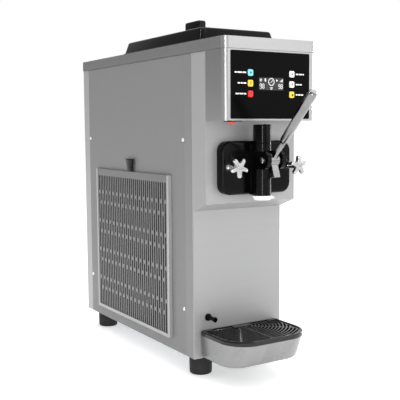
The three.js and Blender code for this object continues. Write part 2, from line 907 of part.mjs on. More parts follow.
// A white star-outlet cap pushed up round the foot of the column, with an ear to turn it by.
function addNozzleCap() {
  const top = columnBottom - gap;
  const bottom = top - nozzleHeight;
  const disc = rodZ(nozzleRadius, bottom, top, 0, columnY, 32);
  const ear = box(0, nozzleRadius + 9, columnY - 5, columnY + 5, bottom + 2, bottom + 6);
  const star = new THREE.Shape();
  const points = 12;
  for (let i = 0; i < points; i += 1) {
    const radius = i % 2 === 0 ? 10 : 6;
    const angle = (i / points) * 2 * Math.PI;
    const x = radius * Math.cos(angle);
    const y = radius * Math.sin(angle);
    if (i === 0) star.moveTo(x, y);
    else star.lineTo(x, y);
  }
  const outlet = raise(star, bottom - 1, top + 1).translate(0, columnY, 0);
  add('nozzle_cap', cut(join(disc, ear), outlet), 'white');
}

function addPivotPin() {
  const half = earGap / 2 + earThickness;
  const shank = rodX(pivotPinRadius, -half - 2, half + 2, pivotY, pivotZ, 16);
  const head = rodX(pivotPinRadius + 2, -half - 3.5, -half - gap, pivotY, pivotZ, 16);
  const clip = rodX(pivotPinRadius + 1.6, half + gap, half + 2, pivotY, pivotZ, 16);
  add('handle_pivot_pin', join(shank, head, clip), 'polished');
}

// The draw handle turns on the pivot pin: neck and grip lean forward, a finger works the piston.
function addDrawHandle() {
  const hubHalf = earGap / 2 - 0.6;
  const hub = rodX(hubRadius, -hubHalf, hubHalf, 0, 0, 28);
  const profile = [
    [0, 0],
    [neckRadius, 0],
    [neckRadius, neckLength - 4],
    [gripRadius - 1, neckLength],
    [gripRadius + 0.5, neckLength + gripLength - 5],
    [gripRadius - 2.5, neckLength + gripLength],
    [0, neckLength + gripLength],
  ];
  const lever = turned(profile, 20).rotateX(THREE.MathUtils.degToRad(handleLean));
  const stub = stretchX(polygon(stubCorners), -stubHalf, stubHalf);
  const fingerShape = new THREE.Shape();
  fingerShape.moveTo(8, -fingerThickness / 2);
  fingerShape.lineTo(fingerReach, -fingerThickness / 2);
  fingerShape.absarc(fingerReach, 0, fingerThickness / 2, -Math.PI / 2, Math.PI / 2, false);
  fingerShape.lineTo(8, fingerThickness / 2);
  const finger = stretchX(fingerShape, -4, 4, 2).rotateX(THREE.MathUtils.degToRad(fingerRestAngle));
  const bore = rodX(pivotPinRadius + gap, -hubHalf - 1, hubHalf + 1, 0, 0, 16);
  add('draw_handle', cut(join(hub, lever, stub, finger), bore), 'polished', [0, pivotY, pivotZ]);
}

// The knob seen from the front: straight arms with clipped corners round a boss.
function knobOutline(firstArm) {
  const half = knobArmWidth / 2;
  const clip = 1.5;
  const rootAngle = Math.PI / knobArms;
  const root = [0, half / Math.tan(rootAngle) + 2.5];
  const side = [
    [-half, knobRadius - clip],
    [-half + clip, knobRadius],
    [half - clip, knobRadius],
    [half, knobRadius - clip],
  ];
  const points = [];
  for (let arm = 0; arm < knobArms; arm += 1) {
    const angle = firstArm + 2 * rootAngle * arm;
    for (const [x, z] of side) points.push(turnedPoint(x, z, angle));
    points.push(turnedPoint(...root, angle + rootAngle));
  }
  return polygon(points);
}

// A point turned clockwise about the origin, as someone facing the front sees it.
function turnedPoint(x, z, angle) {
  return [x * Math.cos(angle) + z * Math.sin(angle), z * Math.cos(angle) - x * Math.sin(angle)];
}

// A five-armed knob turns on each stud; the washer behind it travels with it.
function addHeadFasteners() {
  const washerBack = headFront - gap;
  const washerFront = washerBack - 2;
  const knobBack = washerFront - gap;
  const knobFront = panelFront - knobReach - knobThickness / 2;
  for (const [side, sign] of [['left', -1], ['right', 1]]) {
    const x = (sign * knobSpacing) / 2;
    const washer = cut(
      rodY(10, washerFront, washerBack, 0, 0, 20),
      rodY(studRadius + gap, washerFront - 1, washerBack + 1, 0, 0, 16),
    );
    add(`knob_washer_${side}`, washer, 'white', [x, 0, knobZ]);
    const body = rodY(knobBossRadius, knobFront + 2, knobBack, 0, 0, 20);
    const firstArm = side === 'left' ? Math.PI : 0;
    const grip = stretchY(knobOutline(firstArm), knobFront, knobFront + knobThickness);
    const bore = rodY(studRadius + gap, knobFront + 5, knobBack + 1, 0, 0, 16);
    add(`star_knob_${side}`, cut(join(grip, body), bore), 'polished', [x, 0, knobZ]);
  }
}

// ---------------------------------------------------------------- freezing cylinder and drive

// The barrel, the mounting plate behind the front panel, and the two studs welded to it.
function addFreezingCylinder() {
  const outerRadius = cylinderRadius;
  const innerRadius = outerRadius - cylinderWall;
  const barrel = rodY(outerRadius, cylinderFront, cylinderBack, 0, headCentre, 32);
  const plateFront = panelFront + sheet + gap;
  const plateHalf = headPlateWidth / 2;
  const plate = box(-plateHalf, plateHalf, plateFront, plateFront + 4, headCentre - 50, headCentre + 50);
  const inside = rodY(innerRadius, cylinderFront - 1, cylinderBack - cylinderWall, 0, headCentre, 32);
  const endWall = cylinderBack - cylinderWall;
  const shaftHole = rodY(shaftRadius + gap, endWall - 1, cylinderBack + 1, 0, headCentre, 20);
  const feed = rodZ(feedRadius, headCentre + 30, headCentre + 60, 0, feedY, 20);
  const studEnd = panelFront - knobReach - knobThickness / 2 + 6;
  const studs = [-1, 1].map((side) => {
    return rodY(studRadius, studEnd, plateFront + 4, (side * knobSpacing) / 2, knobZ, 16);
  });
  add('freezing_cylinder', cut(join(barrel, plate, ...studs), inside, shaftHole, feed), 'steel');
}

function addInsulationJacket() {
  const front = panelFront + sheet + 2 * gap + 4;
  const outer = box(-jacketHalf, jacketHalf, front, cylinderBack, headCentre - jacketHalf, jacketTop);
  const bore = rodY(cylinderRadius + gap, front - 1, cylinderBack + 1, 0, headCentre, 32);
  const feed = rodZ(feedRadius + hopperWall + 2 * gap, headCentre, jacketTop + 1, 0, feedY, 20);
  add('insulation_jacket', cut(outer, bore, feed), 'foam');
}

// A shaft with one helical scraper blade that pushes the mix forward.
function addBeater() {
  const bladeRadius = cylinderRadius - cylinderWall - 1.2;
  const start = cylinderFront + 6;
  const end = cylinderBack - cylinderWall - 4;
  const turns = 2.5;
  const steps = 40;
  const thickness = 5;
  const root = shaftRadius - 2;
  const section = [[root, -1], [bladeRadius, -1], [bladeRadius, 1], [root, 1]];
  const positions = [];
  const index = [];
  for (let i = 0; i <= steps; i += 1) {
    const share = i / steps;
    const angle = share * turns * 2 * Math.PI;
    const y = start + thickness + share * (end - start - 2 * thickness);
    for (const [radius, offset] of section) {
      positions.push(radius * Math.cos(angle), y + (offset * thickness) / 2, radius * Math.sin(angle));
    }
    if (i < steps) {
      for (let k = 0; k < 4; k += 1) {
        const a = i * 4 + k;
        const b = i * 4 + ((k + 1) % 4);
        index.push(a, b, b + 4, a, b + 4, a + 4);
      }
    }
  }
  const last = steps * 4;
  index.push(0, 2, 1, 0, 3, 2, last, last + 1, last + 2, last, last + 2, last + 3);
  const blade = new THREE.BufferGeometry();
  blade.setAttribute('position', new THREE.Float32BufferAttribute(positions, 3));
  blade.setIndex(index);
  const shaft = rodY(shaftRadius, start, cylinderBack + 18, 0, 0, 16);
  add('beater', join(blade, shaft), 'steel', [0, 0, headCentre]);
}

function addGearbox() {
  const outline = roundRect(
    -gearboxHalf,
    gearboxHalf,
    headCentre - gearboxHalf,
    headCentre + gearboxHalf,
    8,
  );
  const body = stretchY(outline, gearboxFront, gearboxBack, 2);
  const feet = box(
    -gearboxHalf,
    gearboxHalf,
    gearboxFront + 6,
    gearboxBack - 6,
    shelfTop + gap,
    headCentre - 30,
  );
  const input = rodY(driveShaftRadius, gearboxBack - 1, beltY + 8, beltOffset, inputZ, 16);
  const socket = rodY(shaftRadius + gap, gearboxFront - 1, gearboxFront + 20, 0, headCentre, 20);
  add('gearbox', cut(join(body, feet, input), socket), 'aluminium');
}

function addBeaterMotor() {
  const front = beltY - 18 - motorLength;
  const back = beltY - 18;
  const profile = [
    [0, front],
    [motorRadius - 8, front],
    [motorRadius, front + 8],
    [motorRadius, back - 8],
    [motorRadius - 8, back],
    [0, back],
  ];
  const housing = turned(profile, 28).rotateX(-Math.PI / 2).translate(beltOffset, 0, motorZ);
  const shaft = rodY(driveShaftRadius, back - 1, beltY + 8, beltOffset, motorZ, 16);
  const pad = box(
    beltOffset - 22,
    beltOffset + 22,
    front + 20,
    back - 20,
    motorZ + motorRadius - 12,
    shelfBottom - gap,
  );
  add('beater_motor', join(housing, shaft, pad), 'enamel');
}

// A grooved pulley along Y with a bore for its shaft.
function pulley(radius) {
  const half = beltWidth / 2 + 2.5;
  const floor = radius - pulleyGrooveDepth;
  const groove = beltWidth / 2 + 0.5;
  const profile = [
    [0, -half],
    [radius, -half],
    [radius, -groove],
    [floor, -groove],
    [floor, groove],
    [radius, groove],
    [radius, half],
    [0, half],
  ];
  const disc = turned(profile, 24).rotateX(Math.PI / 2);
  return cut(disc, rodY(driveShaftRadius + gap, -half - 1, half + 1, 0, 0, 16));
}

// The belt's path round both pulleys at a distance outside the groove floors.
function beltPath(outset) {
  const big = largePulleyRadius - pulleyGrooveDepth + outset;
  const small = smallPulleyRadius - pulleyGrooveDepth + outset;
  const lean = Math.asin((big - small) / beltCentres);
  const shape = new THREE.Shape();
  shape.absarc(beltOffset, inputZ, big, -lean, Math.PI + lean, false);
  shape.absarc(beltOffset, motorZ, small, Math.PI + lean, 2 * Math.PI - lean, false);
  return shape;
}

function addBeltDrive() {
  add('gearbox_pulley', pulley(largePulleyRadius), 'galvanised', [beltOffset, beltY, inputZ]);
  add('motor_pulley', pulley(smallPulleyRadius), 'galvanised', [beltOffset, beltY, motorZ]);
  const outer = stretchY(beltPath(gap + beltThickness), beltY - beltWidth / 2, beltY + beltWidth / 2, 9);
  const inner = stretchY(beltPath(gap), beltY - beltWidth, beltY + beltWidth, 9);
  add('drive_belt', cut(outer, inner), 'rubber');
}

function addCylinderShelf() {
  const half = halfWidth - sheet - gap;
  const plate = box(-half, half, sheet + gap, gearboxBack, shelfBottom, shelfTop);
  const windows = grid(2, 2, (column, row) => {
    const x = column === 0 ? -half + 12 : 52;
    const y = 20 + row * 130;
    return box(x, x + half - 64, y, y + 110, shelfBottom - 1, shelfTop + 1);
  });
  add('cylinder_shelf', cut(plate, ...windows), 'galvanised');
}

// ---------------------------------------------------------------- hopper and lid

function addHopper() {
  const outline = roundRect(-hopperHalf, hopperHalf, hopperFront, hopperBack, 12);
  const outer = raise(outline, hopperBottom, hopperRimTop, 2);
  const flange = raise(
    roundRect(
      -hopperHalf - hopperFlange,
      hopperHalf + hopperFlange,
      hopperFront - hopperFlange,
      hopperBack + hopperFlange,
      14,
    ),
    casingTop + gap,
    hopperRimTop,
    2,
  );
  const neckBottom = headCentre + cylinderRadius + 2 * gap;
  const neck = rodZ(feedRadius + hopperWall, neckBottom, hopperBottom + 1, 0, feedY, 20);
  const inside = raise(
    roundRect(
      -hopperHalf + hopperWall,
      hopperHalf - hopperWall,
      hopperFront + hopperWall,
      hopperBack - hopperWall,
      12 - hopperWall,
    ),
    hopperBottom + hopperWall,
    hopperRimTop + 1,
    2,
  );
  const feed = rodZ(feedRadius, neckBottom - 1, hopperBottom + hopperWall + 1, 0, feedY, 20);
  add('hopper', cut(join(outer, flange, neck), inside, feed), 'steel');
}

// The air tube stands in the hopper's feed hole and meters air and mix into the cylinder.
function addAirTube() {
  const bottom = hopperBottom - 14;
  const top = hopperBottom + 120;
  const outer = [
    [0, bottom],
    [feedRadius - gap, bottom],
    [feedRadius - gap, hopperBottom + 6],
    [7, hopperBottom + 9],
    [7, top],
    [0, top],
  ];
  const bore = rodZ(4.5, bottom - 1, top + 1, 0, feedY, 16);
  add('air_tube', cut(turned(outer, 20).translate(0, feedY, 0), bore), 'white');
}

// The pressed lid: sloping sides, a flat top and a block handle, hollow beneath.
function addHopperLid() {
  const base = casingTop + gap;
  const baseHalf = hopperHalf + hopperFlange + lidSkirt;
  const baseFront = hopperFront - hopperFlange - lidSkirt;
  const baseBack = hopperBack + hopperFlange + lidSkirt;
  const ring = (inset, corner, z) => [
    roundRect(-baseHalf + inset, baseHalf - inset, baseFront + inset, baseBack - inset, corner),
    z,
  ];
  const slope = 8.5;
  const outer = loft(
    [
      ring(0, 10, base),
      ring(0.5, 10, base + 4),
      ring(slope - 1, 12, base + lidHeight - 4),
      ring(slope + 1, 12, base + lidHeight - 1.2),
      ring(slope + 4, 12, base + lidHeight),
    ],
    2,
  );
  const hollow = loft(
    [
      ring(lidWall, 8, base - 1),
      ring(lidWall + 0.5, 8, base + 4),
      ring(lidWall + slope, 10, base + lidHeight - lidWall),
    ],
    2,
  );
  const centreY = (baseFront + baseBack) / 2;
  const halfX = lidHandleWidth / 2;
  const halfY = lidHandleLength / 2;
  const grip = loft(
    [
      [roundRect(-halfX - 1, halfX + 1, centreY - halfY - 1, centreY + halfY + 1, 4), base + lidHeight - 1],
      [roundRect(-halfX, halfX, centreY - halfY, centreY + halfY, 4), base + lidHeight + 6],
      [
        roundRect(-halfX, halfX, centreY - halfY, centreY + halfY, 4),
        base + lidHeight + lidHandleHeight - 3,
      ],
      [
        roundRect(-halfX + 2, halfX - 2, centreY - halfY + 2, centreY + halfY - 2, 3),
        base + lidHeight + lidHandleHeight,
      ],
    ],
    2,
  );
  const shell = solid(outer).subtract(solid(hollow));
  add('hopper_lid', geometryOf(shell.add(solid(grip))), 'black');
}

// ---------------------------------------------------------------- air filter and cooling

// A three-sided channel on the left panel that the filter slides down into.
function addFilterPocket() {
  const inner = -halfWidth - gap;
  const outer = box(pocketOuter, inner, filterFront, filterBack, filterBottom, filterTop);
  const channel = box(
    pocketOuter + pocketWall,
    inner - pocketWall,
    filterFront + pocketWall,
    filterBack - pocketWall,
    filterBottom + pocketWall,
    filterTop + 1,
  );
  const mouth = box(
    pocketOuter - 1,
    pocketOuter + pocketWall + 1,
    filterFront + pocketLip,
    filterBack - pocketLip,
    filterBottom + pocketLip,
    filterTop + 1,
  );
  const window = box(
    inner - pocketWall - 1,
    inner + 1,
    filterFront + windowEdge,
    filterBack - windowEdge,
    filterBottom + windowEdge,
    windowTop,
  );
  add('filter_pocket', cut(outer, channel, mouth, window), 'steel');
}

function addAirFilter() {
  const frame = box(filterOuterX, filterInnerX, filterY0, filterY1, filterZ0, filterTop);
  const firstY = filterY0 + filterBorder;
  const lastY = filterY1 - filterBorder;
  const firstZ = filterZ0 + filterBorder;
  const lastZ = filterTop - filterBorder - 6;
  const columns = Math.floor((lastY - firstY + slotPitch - slotWidth) / slotPitch);
  const spare = (lastY - firstY - (columns - 1) * slotPitch - slotWidth) / 2;
  const slotLength = (lastZ - firstZ - (slotRows - 1) * slotBridge) / slotRows;
  const slots = grid(columns, slotRows, (column, row) => {
    const y = firstY + spare + column * slotPitch;
    const z = firstZ + row * (slotLength + slotBridge);
    return box(filterOuterX - 1, filterInnerX + 1, y, y + slotWidth, z, z + slotLength);
  });
  add('air_filter', cut(frame, ...slots), 'steel');

  const tabCentre = (filterY0 + filterY1) / 2;
  const tab = polygon([
    [tabCentre - 13, filterTop + gap],
    [tabCentre + 13, filterTop + gap],
    [tabCentre + 15, filterTop + 16],
    [tabCentre + 21, filterTop + 31],
    [tabCentre - 21, filterTop + 31],
    [tabCentre - 15, filterTop + 16],
  ]);
  add('filter_tab', geometryOf(solid(stretchX(tab, filterOuterX, filterOuterX + 2.6))), 'black');
}

// The condenser's fins as one comb, with legs down to the base pan.
function addCondenser() {
  const finPitch = 12;
  const fins = Math.floor((coolingY1 - coolingY0) / finPitch);
  const spine = condenserX0 + 6;
  const shape = new THREE.Shape();
  shape.moveTo(condenserX0, coolingY0);
  for (let i = 0; i < fins; i += 1) {
    const y = coolingY0 + i * finPitch;
    shape.lineTo(condenserX1, y);
    shape.lineTo(condenserX1, y + finPitch / 3);
    if (i < fins - 1) {
      shape.lineTo(spine, y + finPitch / 3);
      shape.lineTo(spine, y + finPitch);
    }
  }
  shape.lineTo(condenserX0, coolingY0 + (fins - 1) * finPitch + finPitch / 3);
  const block = raise(shape, coolingZ0, coolingZ1);
  const legs = [coolingY0, coolingY0 + (fins - 1) * finPitch - 20].map((y) => {
    return box(condenserX0, condenserX0 + 10, y, y + 20, floorTop + gap, coolingZ0 + 2);
  });
  add('condenser', join(block, ...legs), 'aluminium');
}

function addFanShroud() {
  const plate = box(shroudX, shroudX + 2, coolingY0, coolingY1, floorTop + gap, coolingZ1);
  const hole = rodX(fanRadius + 6, shroudX - 1, shroudX + 3, fanY, fanZ, 32);
  add('fan_shroud', cut(plate, hole), 'galvanised');
}

// Five pitched blades on a hub that is bored for the motor's shaft.
function addFan() {
  const hubRadius = 22;
  const blades = 5;
  const bladePitch = THREE.MathUtils.degToRad(12);
  const hub = rodX(hubRadius, -9, 9, 0, 0, 28);
  const pieces = [hub];
  for (let i = 0; i < blades; i += 1) {
    const blade = box(-1.2, 1.2, -24, 24, hubRadius - 6, fanRadius);
    blade.rotateZ(bladePitch);
    blade.rotateX((i / blades) * 2 * Math.PI);
    pieces.push(blade);
  }
  const bore = rodX(fanShaftRadius + gap, -12, 10, 0, 0, 16);
  add('condenser_fan', cut(join(...pieces), bore), 'black', [shroudX + 16, fanY, fanZ]);
}

function addFanMotor() {
  const front = shroudX + 28;
  const back = beltOffset - motorRadius - 2;
  const body = rodX(32, front, back, fanY, fanZ, 28);
  const shaft = rodX(fanShaftRadius, shroudX + 10, front + 1, fanY, fanZ, 16);
  const reach = fanRadius + 12;
  const arm = box(front + 2, front + 6, fanY - reach, fanY + reach, fanZ - 6, fanZ + 6);
  const legs = [-1, 1].map((side) => {
    const y = fanY + side * reach;
    return box(shroudX + 2 + gap, front + 6, y - 4, y + 4, fanZ - 6, fanZ + 6);
  });
  add('fan_motor', join(body, shaft, arm, ...legs), 'enamel');
}

function addCompressor() {
  const bottom = floorTop + 12;
  const top = bottom + compressorHeight;
  const radius = compressorRadius;
  const profile = [
    [0, bottom],
    [radius - 22, bottom],
    [radius - 5, bottom + 12],
    [radius, bottom + 30],
    [radius, top - 40],
    [radius - 8, top - 16],
    [radius - 26, top - 2],
    [0, top],
  ];
  const shell = turned(profile, 32).translate(compressorX, compressorY, 0);
  const plate = box(
    compressorX - radius,
    compressorX + radius,
    compressorY - radius + 6,
    compressorY + radius - 6,
    floorTop + gap,
    bottom + 3,
  );
  add('compressor', join(shell, plate), 'enamel');
}

// Copper pipes from the compressor to the condenser and back from the freezing cylinder.
function addPipes() {
  const top = floorTop + 12 + compressorHeight;
  const lead = compressorX - 20;
  const discharge = [
    [lead, compressorY - 22, top + 1],
    [lead, compressorY - 22, top + 22],
    [lead - 12, compressorY - 30, top + 36],
    [condenserX1 + 30, coolingY1 + 26, top + 40],
    [condenserX0 + 18, coolingY1 + 22, top + 34],
    [condenserX0 + 18, coolingY1 + 6, top + 30],
    [condenserX0 + 18, coolingY1 + gap, top + 30],
  ];
  add('discharge_pipe', geometryOf(solid(pipe(discharge, 4, 22))), 'copper');
  const suctionX = compressorX + 16;
  const suction = [
    [suctionX, compressorY - 10, top + 1],
    [suctionX, compressorY - 10, top + 40],
    [jacketHalf - 16, compressorY - 20, headCentre - 80],
    [jacketHalf - 14, compressorY - 40, headCentre + 40],
    [jacketHalf - 14, cylinderBack + 40, headCentre + 58],
    [jacketHalf - 14, cylinderBack + gap, headCentre + 58],
  ];
  add('suction_pipe', geometryOf(solid(pipe(suction, 5, 26))), 'copper');
}

function addElectricalBox() {
  const x1 = halfWidth - sheet - 2;
  const top = shelfBottom - 69;
  const body = box(x1 - 58, x1, 24, 70, top - 120, top);
  const entry = box(x1 - 40, x1 - 18, 20, 40, top - 8, top + 2);
  add('electrical_box', cut(body, entry), 'galvanised');
}

// ---------------------------------------------------------------- drip tray

// The tray's outline seen from above: straight back edge, two large rounded front corners.
function trayOutline(halfX, front, corner, back) {
  return roundRect(-halfX, halfX, front, back, [corner, corner, 6, 6]);
}

function addDripTray() {
  const halfX = trayWidth / 2;
  const back = -gap;
  const wall = trayWall;
  const top = [trayOutline(halfX - 2, -trayReach + 2, trayFrontCorner - 2, back), trayRimBottom - gap];
  const bottom = [
    trayOutline(halfX - trayTaper, -trayReach + trayFrontTaper, trayFrontCorner - 14, back),
    trayBottom + 4,
  ];
  const floor = [
    trayOutline(halfX - trayTaper - 4, -trayReach + trayFrontTaper + 4, trayFrontCorner - 18, back),
    trayBottom,
  ];
  const innerTop = [
    trayOutline(halfX - 2 - wall, -trayReach + 2 + wall, trayFrontCorner - 2 - wall, back - wall),
    trayRimBottom + 1,
  ];
  const innerFloor = [
    trayOutline(
      halfX - trayTaper - 2 - wall,
      -trayReach + trayFrontTaper + 2 + wall,
      trayFrontCorner - 16 - wall,
      back - wall,
    ),
    trayBottom + wall + 1,
  ];
  const shell = solid(loft([floor, bottom, top])).subtract(solid(loft([innerFloor, innerTop])));
  const hooks = [-1, 1].map((side) => {
    const x = side * trayHookOffset;
    const half = trayHookWidth / 2;
    const riser = box(x - half, x + half, -gap - wall, -gap, trayRimBottom - gap - 6, trayHookTop);
    const tab = box(x - half, x + half, -gap - wall, sheet + 5, trayHookTop - trayHookHeight, trayHookTop);
    return solid(join(riser, tab));
  });
  add('drip_tray', geometryOf(hooks.reduce((whole, hook) => whole.add(hook), shell)), 'steel');
}

// The black cover sits on the tray's edge; its slots are arcs about the middle of the back edge.
function addDripGrate() {
  const halfX = trayWidth / 2;
  const back = -gap - trayWall - gap;
  const plate = raise(trayOutline(halfX, -trayReach, trayFrontCorner, back), trayRimBottom, trayTop, 6);
  const recess = raise(
    trayOutline(halfX - 5, -trayReach + 5, trayFrontCorner - 5, back - 4),
    trayTop - 2,
    trayTop + 1,
    6,
  );
  const under = raise(
    trayOutline(halfX - 8, -trayReach + 8, trayFrontCorner - 8, back - 6),
    trayRimBottom - 1,
    trayTop - 5,
    6,
  );
  const slots = [];
  for (const radius of [32, 48, 64, 80]) {
    for (const side of [0, 1]) {
      const start = side === 0 ? 1.04 : 1.54;
      const sweep = 0.42;
      const width = 7;
      const slot = new THREE.Shape();
      slot.absarc(0, 0, radius + width, start * Math.PI, (start + sweep) * Math.PI, false);
      slot.absarc(0, 0, radius, (start + sweep) * Math.PI, start * Math.PI, true);
      slots.push(raise(slot, trayRimBottom - 1, trayTop + 1, 4).translate(0, back - 6, 0));
    }
  }
  add('drip_grate', cut(plate, recess, under, ...slots), 'black');
}

// The overflow spout above the tray, which clears leakage from behind the piston seals.
function addDrainSpout() {
  const tube = rodY(spoutRadius, -spoutReach, 14, 0, 0, 16);
  const flange = rodY(spoutRadius + 3.5, -2.6 - gap, -gap, 0, 0, 20);
  const lip = rodY(spoutRadius + 1.3, -spoutReach, -spoutReach + 3, 0, 0, 16);
  const bore = rodY(spoutBore, -spoutReach - 1, 15, 0, 0, 12);
  add('drain_spout', cut(join(tube, flange, lip), bore), 'black', [-spoutOffset, 0, spoutHeight]);
}

// ---------------------------------------------------------------- assembly

addBasePan();
addFeet();
addSidePanels();
addRearPanel();
addCableGland();
addFrontPanel();
addControlCowl();
addTopDeck();
addFascia();
addDisplay();
addButtons();
addControlBoard();
addPowerSwitch();
addDispensingHead();
addHeadGasket();
addValveCap();
addPiston();
addNozzleCap();
addPivotPin();
addDrawHandle();
addHeadFasteners();
addFreezingCylinder();
addInsulationJacket();
addBeater();
addGearbox();
addBeaterMotor();
addBeltDrive();
addCylinderShelf();
addHopper();
addAirTube();
addHopperLid();
addFilterPocket();
addAirFilter();
addCondenser();
addFanShroud();
addFan();
addFanMotor();
addCompressor();
addPipes();
addElectricalBox();
addDripTray();
addDripGrate();
addDrainSpout();

// The origin goes to the centre of the footprint, on the worktop.
const extent = new THREE.Box3().setFromObject(machine);
const centre = extent.getCenter(new THREE.Vector3());
machine.position.set(-centre.x, -centre.y, -extent.min.z);
machine.updateMatrixWorld(true);

export default machine;
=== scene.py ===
"""Looks of a countertop soft-serve ice cream machine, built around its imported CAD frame.

Everything is in metres in the row frame: +X right of someone facing the front, -Y the front, +Z up.
"""

import json
import math

import bmesh
import bpy
from mathutils import Matrix, Vector


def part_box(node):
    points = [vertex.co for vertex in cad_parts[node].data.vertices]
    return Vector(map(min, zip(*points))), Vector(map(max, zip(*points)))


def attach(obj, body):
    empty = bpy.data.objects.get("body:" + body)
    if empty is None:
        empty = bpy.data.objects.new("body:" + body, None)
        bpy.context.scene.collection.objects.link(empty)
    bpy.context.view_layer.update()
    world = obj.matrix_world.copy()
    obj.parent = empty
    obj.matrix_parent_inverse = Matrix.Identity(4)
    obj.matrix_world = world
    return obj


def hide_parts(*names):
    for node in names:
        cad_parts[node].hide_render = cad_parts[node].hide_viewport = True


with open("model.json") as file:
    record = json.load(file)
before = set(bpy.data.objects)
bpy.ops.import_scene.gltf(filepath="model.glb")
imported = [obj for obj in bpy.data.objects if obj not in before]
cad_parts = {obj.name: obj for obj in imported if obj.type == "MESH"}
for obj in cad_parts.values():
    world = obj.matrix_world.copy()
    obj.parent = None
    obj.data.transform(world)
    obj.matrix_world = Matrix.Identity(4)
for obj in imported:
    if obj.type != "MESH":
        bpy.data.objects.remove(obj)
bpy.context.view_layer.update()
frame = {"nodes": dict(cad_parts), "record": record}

MM = 0.001
PRINT_DEPTH = 0.12 * MM
NODES = frame["nodes"]
SLOT_OF = {part["node"]: part["material_slot"] for part in frame["record"]["subparts"]}


# ---------------------------------------------------------------- places taken from the frame

def corners(node):
    """A node's (x0, x1, y0, y1, z0, z1)."""
    low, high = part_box(node)
    return low.x, high.x, low.y, high.y, low.z, high.z


LEFT = corners("left_side_panel")
RIGHT = corners("right_side_panel")
FRONT = corners("front_panel")
REAR = corners("rear_panel")
DECK = corners("top_deck")
COWL = corners("control_cowl")
HEAD = corners("dispensing_head")
CENTRE_X = (DECK[0] + DECK[1]) / 2
HEAD_PANEL_REACH = 50 * MM
PANEL_Y = FRONT[2] + HEAD_PANEL_REACH  # the lower front panel's face


# ---------------------------------------------------------------- camera, light and floor

CAMERA_TURN = (31.74, 5.43, -0.38)  # yaw, pitch and roll in degrees
CAMERA_OFFSET = (-934.6 * MM, -1351.8 * MM)  # from the lower front panel's middle
CAMERA_HEIGHT = 541.7 * MM
CAMERA_LENS = 67.64


def add_camera():
    """A studio view from the front left, a little above the middle."""
    yaw, pitch, roll = (math.radians(a) for a in CAMERA_TURN)
    forward = Vector((math.sin(yaw) * math.cos(pitch), math.cos(yaw) * math.cos(pitch), -math.sin(pitch)))
    right = Vector((math.cos(yaw), -math.sin(yaw), 0))
    up = right.cross(forward)
    side = right * math.cos(roll) + up * math.sin(roll)
    top = up * math.cos(roll) - right * math.sin(roll)
    data = bpy.data.cameras.new("camera")
    data.sensor_width = 36
    data.lens = CAMERA_LENS
    camera = bpy.data.objects.new("camera", data)
    bpy.context.scene.collection.objects.link(camera)
    turn = Matrix((side, top, -forward)).transposed().to_4x4()
    place = Vector((CENTRE_X + CAMERA_OFFSET[0], PANEL_Y + CAMERA_OFFSET[1], CAMERA_HEIGHT))
    camera.matrix_world = Matrix.Translation(place) @ turn
    bpy.context.scene.camera = camera


def add_area_light(name, place, target, size, power):
    """A rectangular soft light at a place, turned towards a target."""
    data = bpy.data.lights.new(name, "AREA")
    data.shape = "RECTANGLE"
    data.size, data.size_y = size
    data.energy = power
    light = bpy.data.objects.new(name, data)
    bpy.context.scene.collection.objects.link(light)
    light.location = place
    light.rotation_euler = (Vector(target) - Vector(place)).to_track_quat("-Z", "Y").to_euler()


def add_studio():
    """A white room that is darker to the left, two soft boxes, and three strips that draw highlights."""
    world = bpy.data.worlds.new("studio")
    bpy.context.scene.world = world
    world.use_nodes = True
    tree = world.node_tree
    background = tree.nodes["Background"]
    coordinates = tree.nodes.new("ShaderNodeTexCoord")
    towards = tree.nodes.new("ShaderNodeVectorMath")
    towards.operation = "DOT_PRODUCT"
    towards.inputs[1].default_value = (0.93, -0.37, 0.0)
    tree.links.new(coordinates.outputs["Generated"], towards.inputs[0])
    ramp = tree.nodes.new("ShaderNodeValToRGB")
    spread = tree.nodes.new("ShaderNodeMapRange")
    spread.inputs["From Min"].default_value = -1
    tree.links.new(towards.outputs["Value"], spread.inputs["Value"])
    tree.links.new(spread.outputs["Result"], ramp.inputs["Fac"])
    left, middle, right = 0.30, 1.0, 1.25
    stops = ((0.0, left), (0.2, left), (0.33, 0.62), (0.43, middle), (0.8, middle), (0.9, 1.2), (1.0, right))
    elements = ramp.color_ramp.elements
    while len(elements) < len(stops):
        elements.new(0.5)
    for element, (position, grey) in zip(elements, stops):
        element.position = position
        element.color = (grey, grey, grey, 1)
    tree.links.new(ramp.outputs["Color"], background.inputs["Color"])
    background.inputs["Strength"].default_value = 1.0
    add_area_light("overhead", (0.3, -0.2, 2.6), (0, 0, 0.3), (2.4, 2.4), 26)
    add_area_light("front_box", (1.3, -2.2, 1.3), (0, -0.2, 0.5), (1.2, 1.6), 5)
    add_area_light("tall_strip", (-1.5, -2.6, 0.7), (0, -0.1, 0.5), (0.1, 1.4), 24)
    add_area_light("roof_strip", (-1.5, 0.2, 2.1), (0, 0.2, 0.75), (0.05, 1.8), 14)
    add_area_light("side_strip", (2.2, 0.1, 0.7), (0, -0.1, 0.45), (0.12, 1.4), 14)
    bpy.context.scene.view_settings.view_transform = "Standard"


